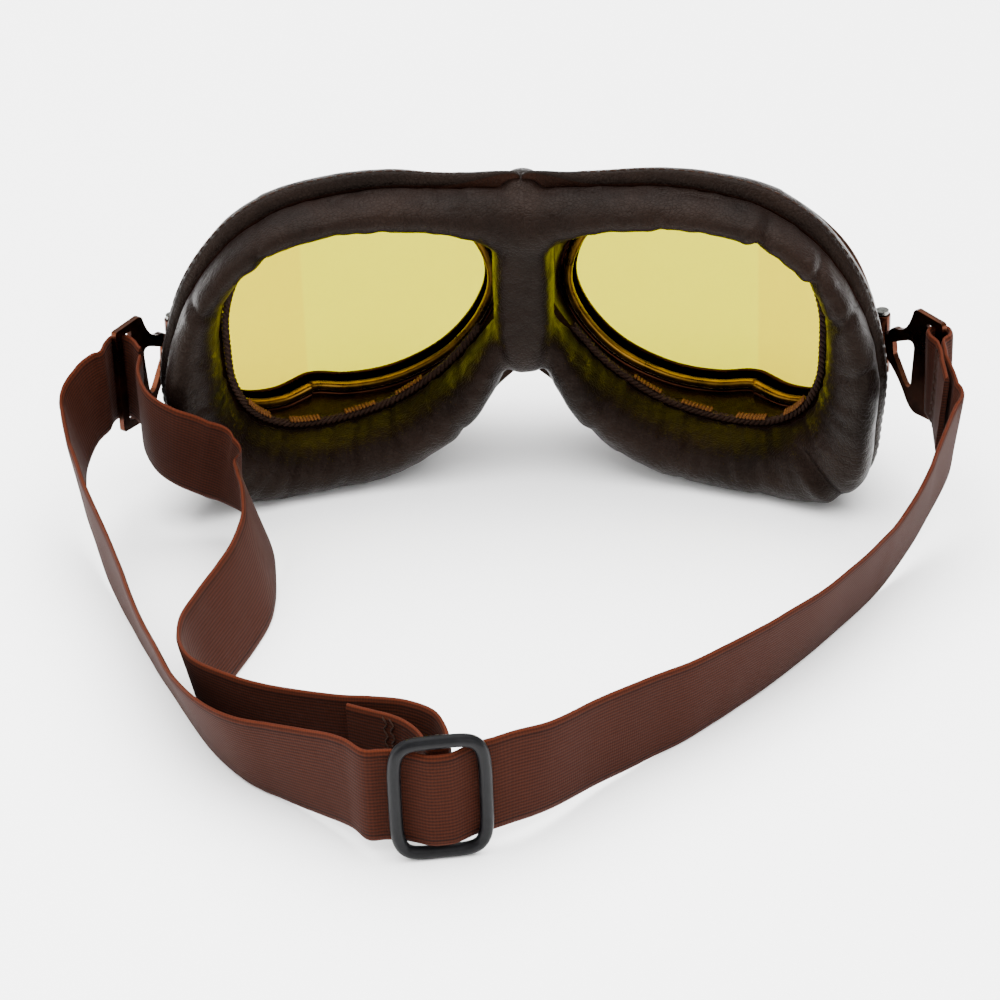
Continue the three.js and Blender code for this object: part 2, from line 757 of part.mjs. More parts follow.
// Stations near a bracket: [out along the plate from its hinge, in front of the plate, drop].
const barLow = templeHingeZ - strapWidth / 2;
function nearBracket(side, swing, points) {
  const angle = THREE.MathUtils.degToRad(swing);
  return points.map(([along, ahead, drop = 0, lean = 0]) => [
    side * (templeAxis.x + along * Math.cos(angle) + ahead * Math.sin(angle)),
    templeAxis.y - along * Math.sin(angle) + ahead * Math.cos(angle),
    barLow - drop,
    lean,
  ]);
}
// Stations near the slider: [along the strap, behind-to-front, lift].
const sliderTurn = THREE.MathUtils.degToRad(sliderYaw);
const sliderAlong = new THREE.Vector3(Math.cos(sliderTurn), Math.sin(sliderTurn), 0);
const sliderAhead = new THREE.Vector3(Math.sin(sliderTurn), -Math.cos(sliderTurn), 0);
const nearSlider = (points) =>
  points.map(([along, ahead, lift = 0]) => {
    const place = sliderPlace
      .clone()
      .addScaledVector(sliderAlong, along)
      .addScaledVector(sliderAhead, ahead);
    return [place.x, place.y, place.z - strapWidth / 2 + lift, 0];
  });

const slotMiddle = bracketLength - barWidth - slotWidth / 2;
const barMiddle = bracketLength - barWidth / 2;
const clearOfPlate = bracketThickness / 2 + strapGap + strapThickness / 2;
const crossBarRadius = sliderBar / 2 - 0.1;
const crossBarBack = 3.4; // the slider's cross bar lies behind its frame
const loopRadius = crossBarRadius + strapGap + strapThickness / 2;
const archPeak = loopRadius + strapThickness + strapGap - crossBarBack + 0.1;
const archSide = -(sliderBar / 2 + strapGap + strapThickness / 2);

// Wearer's left: from behind the slot, round the bar, and down to the table.
const leftTurn = nearBracket(-1, bracketSwing.left, [
  [slotMiddle + 1.4, -5.2, 0.9],
  [slotMiddle + 0.4, -2.6, 0.4],
  [slotMiddle, -0.2],
  [slotMiddle + 0.3, clearOfPlate - 0.4],
  [slotMiddle + 1.6, clearOfPlate + 0.5],
  [barMiddle + 0.4, clearOfPlate + 0.6],
  [bracketLength + 1.2, clearOfPlate],
  [bracketLength + 3.5, clearOfPlate - 0.9, 0.6, 1],
]);
const spread = (stations) =>
  stations.map(([x, y, z, lean]) => [x * strapSpread, y, z, lean]);
const leftFall = spread([
  [-113.4, -20.5, 20.6, 3],
  [-116, -27.5, 15, 5],
  [-115, -36, 9.5, 7],
  [-111, -47, 5.4, 8],
  [-106, -60, 2, 7],
  [-100, -74, 0.2, 7],
]);
const leftRun = spread([
  [-93.5, -89, 0, 10],
  [-86, -105, 0, 15],
  [-78, -121, 0, 18],
  [-70, -136.5, 0, 20],
  [-61, -149, 0, 18],
  [-50, -158, 0.6, 12],
  [-40, -166.5, 2.2, 6],
  [-33, -173.5, 3.8, 2],
]);
const arch = nearSlider([
  [-16.5, archSide - 0.8],
  [-13, archSide - 0.5],
  [-10, archSide - 0.1],
  [-7.5, archSide + 0.8],
  [-5, archPeak - 1.6],
  [-2.5, archPeak - 0.25],
  [0, archPeak],
  [2.5, archPeak - 0.25],
  [5, archPeak - 1.6],
  [7.5, archSide + 0.8],
  [10, archSide - 0.1],
  [13, archSide - 0.9],
  [16.5, archSide - 2.2],
]);
const rightRun = spread([
  [11.5, -165.5, 3, 2],
  [21, -154, 1.6, 4],
  [33, -141.5, 0.5, 6],
  [46, -128.5, 0, 10],
  [59, -113.5, 0, 14],
  [70.5, -98, 0, 17],
  [80, -83.5, 0, 18],
]);
const rightFall = spread([
  [87.5, -71.5, 0, 17],
  [93, -62, 1, 16],
  [98.5, -52.5, 4, 15],
  [103.5, -44, 8, 13],
]);
// Wearer's right: the sewn end, round the bar and back on itself.
const rightTurn = nearBracket(1, bracketSwing.right, [
  [38.5, -11.3, 6.6, 7],
  [35, -8.5, 4.4, 4],
  [31, -5.6, 2.6, 2],
  [27.8, -3, 1.2],
  [25.7, -0.8, 0.3],
  [25, 1.1],
  [23.4, 2.5],
  [21.4, 2.6],
  [19.9, 1.6],
  [19.5, 0],
  [19.9, -1.6],
  [21.4, -2.7, 0.1],
  [24, -3.6, 0.6, -1],
  [26.4, -4.9, 1.3, -2],
  [29.6, -7.4, 2.4, -3],
  [33.4, -10.4, 3.8, -4],
]);
const outerStations = [...leftTurn, ...leftFall, ...leftRun, ...arch, ...rightRun];
outerStations.push(...rightFall, ...rightTurn);
const outerRoute = routeOf(outerStations);
const afterTurn = leftTurn.length - 1;
const afterFall = afterTurn + leftFall.length;
const beforeArch = afterFall + leftRun.length + 1;
const afterArch = beforeArch + arch.length - 1;
const beforeRightFall = afterArch + rightRun.length + 1;
const beforeLoop = beforeRightFall + rightFall.length + 1;
addPart("strap_left_turn", ribbon(outerRoute, 0, afterTurn), webbing);
addPart("strap_left_fall", ribbon(outerRoute, afterTurn, afterFall), webbing);
addPart("strap_left_run", ribbon(outerRoute, afterFall, beforeArch), webbing);
addPart("strap_slider_arch", ribbon(outerRoute, beforeArch, afterArch), webbing);
addPart("strap_right_run", ribbon(outerRoute, afterArch, beforeRightFall), webbing);
addPart("strap_right_fall", ribbon(outerRoute, beforeRightFall, beforeLoop), webbing);
addPart("strap_right_loop", ribbon(outerRoute, beforeLoop, outerRoute.ends), webbing);

// The inner leg: from behind the left bracket round to the slider's cross bar, and its sewn
// end folded back beside it.
const innerFall = spread([
  [-101.3, -16.4, 22, -1],
  [-99.6, -24, 19.8, 2],
  [-96, -31, 17.8, 4],
  [-91, -34.6, 16, 6],
  [-85, -35.4, 13.5, 9],
  [-78.5, -34.8, 10.5, 14],
  [-72.5, -36.2, 7.5, 18],
  [-67.8, -41.2, 5, 18],
  [-64.6, -49, 3, 17],
  [-63, -58, 1.2, 17],
]);
const innerRun = spread([
  [-62.3, -68, 0, 18],
  [-62.6, -79, 0, 20],
  [-65, -91, 0, 21],
  [-69, -104, 0, 20],
  [-72.2, -114.5, 0, 18],
  [-73, -123.5, 0, 13],
  [-70.3, -131, 0, 10],
  [-64, -137, 0, 8],
  [-54.5, -143, 0.3, 6],
  [-44.5, -148, 1, 4],
]);
const sliderLoop = [
  [-35.8, -152.3, 2, 2],
  [-28, -155, 3, 1],
  [-20, -158.4, 4, 0],
  [-13.6, -163.4, 4.5, 0],
  ...nearSlider([
    [loopRadius + 0.1, -crossBarBack - 6],
    [loopRadius, -crossBarBack - 2],
    [loopRadius, -crossBarBack],
    [loopRadius * 0.72, -crossBarBack + loopRadius * 0.72],
    [0, -crossBarBack + loopRadius],
    [-loopRadius * 0.72, -crossBarBack + loopRadius * 0.72],
    [-loopRadius, -crossBarBack],
    [-loopRadius - 0.2, -crossBarBack - 2],
    [-loopRadius - 1.3, -crossBarBack - 6],
  ]),
  [-21, -166.4, 4, 0],
  [-27, -161.6, 3, 0],
  [-33.6, -157.4, 2.2, 0],
];
const innerRoute = routeOf([...innerFall, ...innerRun, ...sliderLoop]);
const afterInnerFall = innerFall.length - 1;
const beforeSliderLoop = afterInnerFall + innerRun.length + 1;
addPart("strap_inner_fall", ribbon(innerRoute, 0, afterInnerFall), webbing);
addPart("strap_inner_run", ribbon(innerRoute, afterInnerFall, beforeSliderLoop), webbing);
addPart("strap_slider_loop", ribbon(innerRoute, beforeSliderLoop, innerRoute.ends), webbing);

// ---------------------------------------------------------------- slider
// A rounded frame of round bar, pinched where its upright cross bar meets it.
function sliderFrame() {
  const halfWide = (sliderWidth - sliderBar) / 2;
  const halfTall = (sliderHeight - sliderBar) / 2;
  const corner = 4.5;
  const pinch = 0.4;
  const flat = halfWide - corner;
  const quarter = (cx, cz, from) =>
    [0, 22.5, 45, 67.5, 90].map((step) => {
      const turn = THREE.MathUtils.degToRad(from + step);
      return [cx + corner * Math.cos(turn), cz + corner * Math.sin(turn)];
    });
  const middle = (sign) =>
    [0.75, 0.45, 0, -0.45, -0.75].map((share) => {
      const dip = Math.cos((share * Math.PI) / 2) ** 2;
      return [sign * flat * share, sign * (halfTall - pinch * dip), crossBarBack * dip];
    });
  const side = [
    ...quarter(flat, -halfTall + corner, -90),
    ...quarter(flat, halfTall - corner, 0),
    ...middle(1),
    ...quarter(-flat, halfTall - corner, 90),
    ...quarter(-flat, -halfTall + corner, 180),
    ...middle(-1),
  ];
  const points = side.map(([x, z, back = 0]) => new THREE.Vector3(x, back, z));
  const rings = points.map((point, i) => {
    const next = points[(i + 1) % points.length];
    const last = points[(i + points.length - 1) % points.length];
    const along = next.clone().sub(last).normalize();
    const out = new THREE.Vector3(along.z, 0, -along.x).normalize();
    const across = new THREE.Vector3().crossVectors(along, out);
    return Array.from({ length: 10 }, (_, k) => {
      const turn = (k / 10) * 2 * Math.PI;
      const radius = sliderBar / 2;
      return point
        .clone()
        .addScaledVector(out, radius * Math.cos(turn))
        .addScaledVector(across, radius * Math.sin(turn));
    });
  });
  const crossBar = uprightCylinder(
    0,
    crossBarBack,
    -halfTall + 1,
    halfTall - 1,
    crossBarRadius,
    12,
  );
  return joined(loft(rings, true), crossBar)
    .rotateZ(sliderTurn)
    .translate(sliderPlace.x, sliderPlace.y, sliderPlace.z);
}
addPart("slider", sliderFrame(), blackPlastic);

// ---------------------------------------------------------------- place
// The whole lies on Z = 0, with the middle of its plan at the origin.
const whole = new THREE.Box3().setFromObject(goggles);
const middle = whole.getCenter(new THREE.Vector3());
goggles.position.set(-middle.x, -middle.y, -whole.min.z);

export default goggles;
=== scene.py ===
# %% [markdown]
# # Riding goggles, lying on a table with their strap behind them
# The metal frames, hinges, brackets and the slider were designed as solid parts. This scene
# loads them as a rigid frame, keeps every position they give, and builds the soft goods
# around them: a padded leather mask and an elastic band.

# %% Load the frame
import math

import bpy
import numpy as np
from mathutils import Matrix, Vector


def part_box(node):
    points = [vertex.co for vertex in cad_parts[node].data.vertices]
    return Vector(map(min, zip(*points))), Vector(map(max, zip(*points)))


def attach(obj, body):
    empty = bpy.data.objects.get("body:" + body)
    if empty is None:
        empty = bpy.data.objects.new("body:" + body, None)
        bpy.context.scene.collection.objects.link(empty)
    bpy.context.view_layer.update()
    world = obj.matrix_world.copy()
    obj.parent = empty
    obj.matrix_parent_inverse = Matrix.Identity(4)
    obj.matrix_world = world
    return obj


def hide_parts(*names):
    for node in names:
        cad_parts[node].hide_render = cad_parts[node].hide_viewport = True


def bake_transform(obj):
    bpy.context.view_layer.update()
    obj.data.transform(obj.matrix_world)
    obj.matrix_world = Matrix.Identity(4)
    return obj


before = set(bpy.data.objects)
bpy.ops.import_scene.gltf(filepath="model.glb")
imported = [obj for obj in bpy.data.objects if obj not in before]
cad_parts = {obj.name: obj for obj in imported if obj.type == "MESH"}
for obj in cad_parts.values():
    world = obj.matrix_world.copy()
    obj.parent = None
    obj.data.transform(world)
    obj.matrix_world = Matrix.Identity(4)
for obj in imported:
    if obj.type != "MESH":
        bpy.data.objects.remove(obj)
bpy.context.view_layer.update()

# %% [markdown]
# All shapes below are thought of in millimetres, with X = 0 on the nose and Y = 0 near the
# wearer's brow. The nose hinge's pin is an upright rod with a known place in that plan, so
# one measurement of it gives the shift from the drawing's plan to the loaded frame.

# %% Where the drawing's zero lies
PIN_PLAN = np.array([0.0, 33.5])
pin_low, pin_high = (np.array(corner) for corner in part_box("nose_pin"))
SHIFT = np.append((pin_low + pin_high)[:2] / 2 * 1000 - PIN_PLAN, 0.0)


def row(points):
    """Millimetres in the drawing's plan become metres in the loaded frame."""
    return (np.asarray(points, float) + SHIFT) / 1000


print("shift mm", SHIFT.round(3))

# %% [markdown]
# ## Camera
# The view is from behind and above the mask, 30 degrees up and 4 degrees to one side, with
# a long lens and the camera rolled a little. The camera is set first because every later
# decision is judged through it.

# %% Camera
TARGET = np.array([-7.2, -14.0, -1.0])
AZIMUTH, ELEVATION, ROLL = np.radians([4.0, 30.0, 2.2])
DISTANCE = 1000.0
toward_camera = np.array([
    math.sin(AZIMUTH) * math.cos(ELEVATION),
    -math.cos(AZIMUTH) * math.cos(ELEVATION),
    math.sin(ELEVATION),
])
flat_right = np.array([math.cos(AZIMUTH), math.sin(AZIMUTH), 0.0])
flat_up = np.cross(toward_camera, flat_right)
right = flat_right * math.cos(ROLL) - flat_up * math.sin(ROLL)
up = flat_right * math.sin(ROLL) + flat_up * math.cos(ROLL)
camera_data = bpy.data.cameras.new("camera")
camera_data.lens = 133.9
camera_data.sensor_width = 36
camera_data.clip_end = 20
camera = bpy.data.objects.new("camera", camera_data)
bpy.context.scene.collection.objects.link(camera)
place = Matrix(np.column_stack([right, up, toward_camera]).tolist()).to_4x4()
place.translation = Vector(row(TARGET + toward_camera * DISTANCE))
camera.matrix_world = place
bpy.context.scene.camera = camera
print("camera at", [round(v, 3) for v in camera.location])

# %% [markdown]
# ## Light and floor
# A product on a white sweep. Two very wide suns stand for the ceiling and a window: the
# ceiling gives most of the light and is kept out of reflections, and the window adds a soft
# shine. Two weak area lamps open up the sides, and an even bright world fills the shadows.


# %% Lamps
def soft_lamp(name, place_mm, size_m, power, aim_mm=(0, -60, 20)):
    """An area lamp at a place in the plan, turned so that it faces the aim point."""
    data = bpy.data.lights.new(name, "AREA")
    data.shape = "DISK"
    data.size = size_m
    data.energy = power
    lamp = bpy.data.objects.new(name, data)
    bpy.context.scene.collection.objects.link(lamp)
    lamp.location = row(place_mm)
    aim = Vector(row(aim_mm)) - lamp.location
    lamp.rotation_euler = aim.to_track_quat("-Z", "Y").to_euler()
    return lamp


def soft_sky(name, from_mm, strength, width_degrees, mirrored_in_gloss):
    """A very wide sun: even light from one part of the ceiling, with soft shadows. A
    matt ceiling lights things without showing up as a highlight."""
    data = bpy.data.lights.new(name, "SUN")
    data.energy = strength
    data.angle = math.radians(width_degrees)
    lamp = bpy.data.objects.new(name, data)
    bpy.context.scene.collection.objects.link(lamp)
    lamp.rotation_euler = Vector(from_mm).to_track_quat("Z", "Y").to_euler()
    lamp.visible_glossy = mirrored_in_gloss
    return lamp


soft_sky("ceiling", (80, 160, 900), 14.0, 100, False)
soft_sky("window", (-60, 300, 900), 2.5, 60, True)
soft_lamp("side", (-800, -300, 450), 0.7, 7)
soft_lamp("viewer_side", (500, -900, 600), 0.8, 6)
world = bpy.data.worlds.new("bright_room")
world.use_nodes = True
world.node_tree.nodes["Background"].inputs["Color"].default_value = (1.0, 1.0, 1.0, 1)
world.node_tree.nodes["Background"].inputs["Strength"].default_value = 0.75
bpy.context.scene.world = world


# %% [markdown]
# ## Small mesh and material tools
# Every new piece is a grid of points worked out with numpy. One function turns a grid into
# a mesh, one adds a shader node with its settings and links, one converts colours.


# %% Mesh tools
def grid_mesh(name, points, loop_rows=False, uv=None):
    """A closed surface through rows of rings. points has the shape (rows, ring, 3) in
    drawing millimetres; row i is joined to row i + 1, and the ends are closed by flat
    fans unless the rows run in a loop. The faces are turned outwards by the sign of the
    enclosed volume, which is the sum of corner triple products."""
    rows, ring = points.shape[:2]
    verts = row(points).reshape(-1, 3)
    r = np.arange(rows if loop_rows else rows - 1)
    c = np.arange(ring)
    r, c = np.meshgrid(r, c, indexing="ij")
    r2, c2 = (r + 1) % rows, (c + 1) % ring
    quads = np.stack(
        [r * ring + c, r * ring + c2, r2 * ring + c2, r2 * ring + c], -1
    ).reshape(-1, 4)
    a, b, d = verts[quads[:, 0]], verts[quads[:, 1]], verts[quads[:, 2]]
    e = verts[quads[:, 3]]
    volume = np.einsum("ij,ij->", a, np.cross(b, d)) + np.einsum("ij,ij->", a, np.cross(d, e))
    flip = volume < 0
    faces = (quads[:, ::-1] if flip else quads).tolist()
    smooth = [True] * len(faces)
    if not loop_rows:
        first, last = list(range(ring)), list(range((rows - 1) * ring, rows * ring))
        faces += [first if flip else first[::-1], last[::-1] if flip else last]
        smooth += [False, False]
    mesh = bpy.data.meshes.new(name)
    mesh.from_pydata(verts.tolist(), [], faces)
    mesh.polygons.foreach_set("use_smooth", smooth)
    if not loop_rows:
        pairs = np.empty(len(mesh.edges) * 2, int)
        mesh.edges.foreach_get("vertices", pairs)
        pairs = pairs.reshape(-1, 2)
        end = (pairs < ring).all(1) | (pairs >= (rows - 1) * ring).all(1)
        mesh.attributes.new("sharp_edge", "BOOLEAN", "EDGE").data.foreach_set("value", end)
    if uv is not None:
        layer = mesh.uv_layers.new(name="UVMap")
        index = np.empty(len(mesh.loops), int)
        mesh.loops.foreach_get("vertex_index", index)
        layer.data.foreach_set("uv", uv.reshape(-1, 2)[index].ravel())
    obj = bpy.data.objects.new(name, mesh)
    bpy.context.scene.collection.objects.link(obj)
    return obj


def through(stations, t, closed=False):
    """Centripetal Catmull-Rom: a curve through all stations, t from 0 to 1. The tangent at
    a station leans on its neighbours, weighted by the square root of their distances."""
    p = np.asarray(stations, float)
    n = len(p)
    if closed:
        p = np.vstack([p[-1], p, p[:2]])
        spans = n
    else:
        p = np.vstack([2 * p[0] - p[1], p, 2 * p[-1] - p[-2]])
        spans = n - 1
    u = np.clip(np.asarray(t, float), 0, 1) * spans
    i = np.minimum(u.astype(int), spans - 1)
    w = (u - i)[:, None]
    a, b, c, d = p[i], p[i + 1], p[i + 2], p[i + 3]
    gap = lambda q, s: np.sqrt(np.linalg.norm(s - q, axis=1, keepdims=True))
    g1 = np.maximum(gap(b, c), 1e-4)
    g0 = np.where(gap(a, b) < 1e-4, g1, gap(a, b))
    g2 = np.where(gap(c, d) < 1e-4, g1, gap(c, d))
    start = ((b - a) / g0 - (c - a) / (g0 + g1) + (c - b) / g1) * g1
    stop = ((c - b) / g1 - (d - b) / (g1 + g2) + (d - c) / g2) * g1
    return (b + start * w + (3 * (c - b) - 2 * start - stop) * w**2
            + (2 * (b - c) + start + stop) * w**3)


def unit(v):
    return v / np.maximum(np.linalg.norm(v, axis=-1, keepdims=True), 1e-9)


def tube(name, path, radius, sides, closed=False, normal=None):
    """A round section carried along a path: each ring lies square to the path, and its
    first direction is kept as level as it can be, or in the plane whose normal is given."""
    path = np.asarray(path, float)
    along = unit(np.roll(path, -1, 0) - np.roll(path, 1, 0)) if closed else unit(
        np.gradient(path, axis=0))
    side = np.cross(along, [0, 0, 1.0] if normal is None else normal)
    weak = np.linalg.norm(side, axis=1) < 0.2
    side[weak] = np.cross(along[weak], [0, 1.0, 0])
    side = unit(side)
    top = np.cross(side, along)
    turn = np.linspace(0, 2 * np.pi, sides, endpoint=False)
    radius = np.broadcast_to(radius, len(path))[:, None, None]
    points = path[:, None] + radius * (side[:, None] * np.cos(turn)[None, :, None]
                                       + top[:, None] * np.sin(turn)[None, :, None])
    return grid_mesh(name, points, loop_rows=closed)


def place_copies(name, base, centres, x_dir, y_dir, z_dir):
    """One mesh that holds the same small shape at many places. base is (points, faces) in
    millimetres; each copy is turned so that its axes lie along the given directions."""
    points, faces = base
    n, k = len(centres), len(points)
    turn = np.stack([unit(x_dir), unit(y_dir), unit(z_dir)], -1)
    verts = np.einsum("nij,kj->nki", turn, points) + centres[:, None]
    offsets = (np.arange(n) * k)[:, None, None]
    all_faces = (np.asarray(faces)[None] + offsets).reshape(-1, np.asarray(faces).shape[1])
    mesh = bpy.data.meshes.new(name)
    mesh.from_pydata(row(verts.reshape(-1, 3)).tolist(), [], all_faces.tolist())
    mesh.polygons.foreach_set("use_smooth", [True] * len(mesh.polygons))
    obj = bpy.data.objects.new(name, mesh)
    bpy.context.scene.collection.objects.link(obj)
    return obj


def stitch_shape(length, width, height, steps=8, sides=6):
    """A thread's float: a lens-shaped tube, thin at both ends where it dives into the
    leather. Its thickness is the square root of one minus the fourth power of the place
    along it. All faces have four sides, the end caps too."""
    s = np.linspace(-1, 1, steps)
    turn = np.linspace(0, 2 * np.pi, sides, endpoint=False)
    fat = np.sqrt(np.clip(1 - 0.98 * s**4, 0, 1))
    x = np.repeat(s * length / 2, sides)
    y = (fat[:, None] * np.cos(turn) * width / 2).ravel()
    z = (fat[:, None] * np.sin(turn) * height / 2).ravel()
    i, j = np.meshgrid(np.arange(steps - 1), np.arange(sides), indexing="ij")
    j2 = (j + 1) % sides
    quads = np.stack([i * sides + j, (i + 1) * sides + j, (i + 1) * sides + j2,
                      i * sides + j2], -1).reshape(-1, 4)
    ends = []
    for base, order in ((0, 1), ((steps - 1) * sides, -1)):
        for a in range(1, sides - 2, 2):
            quad = [base, base + a, base + a + 1, base + a + 2]
            ends.append(quad[::-order])
    return np.stack([x, y, z], -1), np.vstack([quads, ends])


print("mesh tools ready")


# %% Material tools
def linear(hex_colour):
    """An sRGB hex value as linear light, with alpha 1."""
    v = np.array([int(hex_colour[i:i + 2], 16) for i in (1, 3, 5)]) / 255
    v = np.where(v <= 0.04045, v / 12.92, ((v + 0.055) / 1.055) ** 2.4)
    return (*v.tolist(), 1.0)


def add_node(tree, kind, settings=None, **inputs):
    """One shader node. settings are its properties; each input is a value, or another
    node's output socket, which is linked. An underscore in a name stands for a space."""
    node = tree.nodes.new(kind)
    for name, value in (settings or {}).items():
        setattr(node, name, value)
    for name, value in inputs.items():
        key = int(name[1:]) if name[0] == "i" and name[1:].isdigit() else name.replace("_", " ")
        socket = node.inputs[key]
        if isinstance(value, bpy.types.NodeSocket):
            tree.links.new(value, socket)
        else:
            socket.default_value = value
    return node


def start_material(name):
    """An empty node material with its surface shader: (material, tree, shader)."""
    material = bpy.data.materials.new(name)
    material.use_nodes = True
    tree = material.node_tree
    return material, tree, tree.nodes["Principled BSDF"]


def ramp(tree, factor, stops):
    """A colour ramp with (place, hex colour) stops."""
    node = add_node(tree, "ShaderNodeValToRGB", None, Fac=factor)
    elements = node.color_ramp.elements
    for index, (at, colour) in enumerate(stops):
        element = elements[index] if index < 2 else elements.new(at)
        element.position = at
        element.color = linear(colour) if isinstance(colour, str) else colour
    return node.outputs["Color"]


def grey(value):
    return (value, value, value, 1.0)


print("material tools ready")

# %% [markdown]
# ## Finishes
# Each material is named for what the real one is. Pattern sizes are written in millimetres
# and turned into texture scales; a pattern finer than a quarter of a millimetre would not
# show, so it is drawn as coarse as it must be to read. The ceiling is strong, so that the
# paper floor looks nearly white. The base colours and the specular levels are set lower than
# those of the real finishes to make up for it, so they look too dark in weaker light.


# %% Artificial leather
def make_leather(name, dark, light, roughness):
    """Polyurethane leather: knitted cloth with an embossed plastic skin. The eye sees a pebble
    grain under a millimetre wide, finer than real hide and very even, with painted shade
    darkening the valleys between the pebbles, soft wide creases where the foam below is
    squeezed, and a broad dull shine."""
    material, tree, shader = start_material(name)
    spot = add_node(tree, "ShaderNodeTexCoord").outputs["Object"]
    grain_mm, crease_mm, tone_mm = 1.1, 7.0, 22.0
    pebbles = add_node(tree, "ShaderNodeTexVoronoi", {"feature": "DISTANCE_TO_EDGE"},
                       Vector=spot, Scale=1000 / grain_mm).outputs["Distance"]
    valley = add_node(tree, "ShaderNodeMapRange", {"interpolation_type": "SMOOTHSTEP"},
                      Value=pebbles, i1=0.0, i2=0.16).outputs["Result"]
    creases = add_node(tree, "ShaderNodeTexNoise", None, Vector=spot, Scale=1000 / crease_mm,
                       Detail=5.0, Roughness=0.55, Distortion=0.8).outputs["Fac"]
    tone = add_node(tree, "ShaderNodeTexNoise", None, Vector=spot, Scale=1000 / tone_mm,
                    Detail=3.0).outputs["Fac"]
    colour = ramp(tree, tone, [(0.35, dark), (0.68, light)])
    # Painted shade: the random tone is darkened in the valleys between the pebbles.
    tone_and_valley_shade = add_node(tree, "ShaderNodeMix", {"data_type": "RGBA", "blend_type": "MULTIPLY"},
                    i0=0.45)
    tree.links.new(colour, tone_and_valley_shade.inputs[6])
    tree.links.new(ramp(tree, valley, [(0.0, grey(0.35)), (1.0, grey(1.0))]), tone_and_valley_shade.inputs[7])
    tree.links.new(tone_and_valley_shade.outputs[2], shader.inputs["Base Color"])
    shine = add_node(tree, "ShaderNodeMapRange", None, Value=creases, i1=0.3, i2=0.7,
                     i3=roughness - 0.07, i4=roughness + 0.1).outputs["Result"]
    tree.links.new(shine, shader.inputs["Roughness"])
    wide = add_node(tree, "ShaderNodeBump", None, Strength=0.55, Distance=0.0013, Height=creases)
    fine = add_node(tree, "ShaderNodeBump", None, Strength=0.35, Distance=0.0003,
                    Height=valley, Normal=wide.outputs["Normal"])
    tree.links.new(fine.outputs["Normal"], shader.inputs["Normal"])
    shader.inputs["Specular IOR Level"].default_value = 0.13
    shader.inputs["Specular Tint"].default_value = linear("#d8c4b4")
    return material


pad_leather = make_leather("artificial_leather", "#090504", "#130b08", 0.4)
lining_leather = make_leather("lining_leather", "#120603", "#1c0b05", 0.46)
print("leather ready")


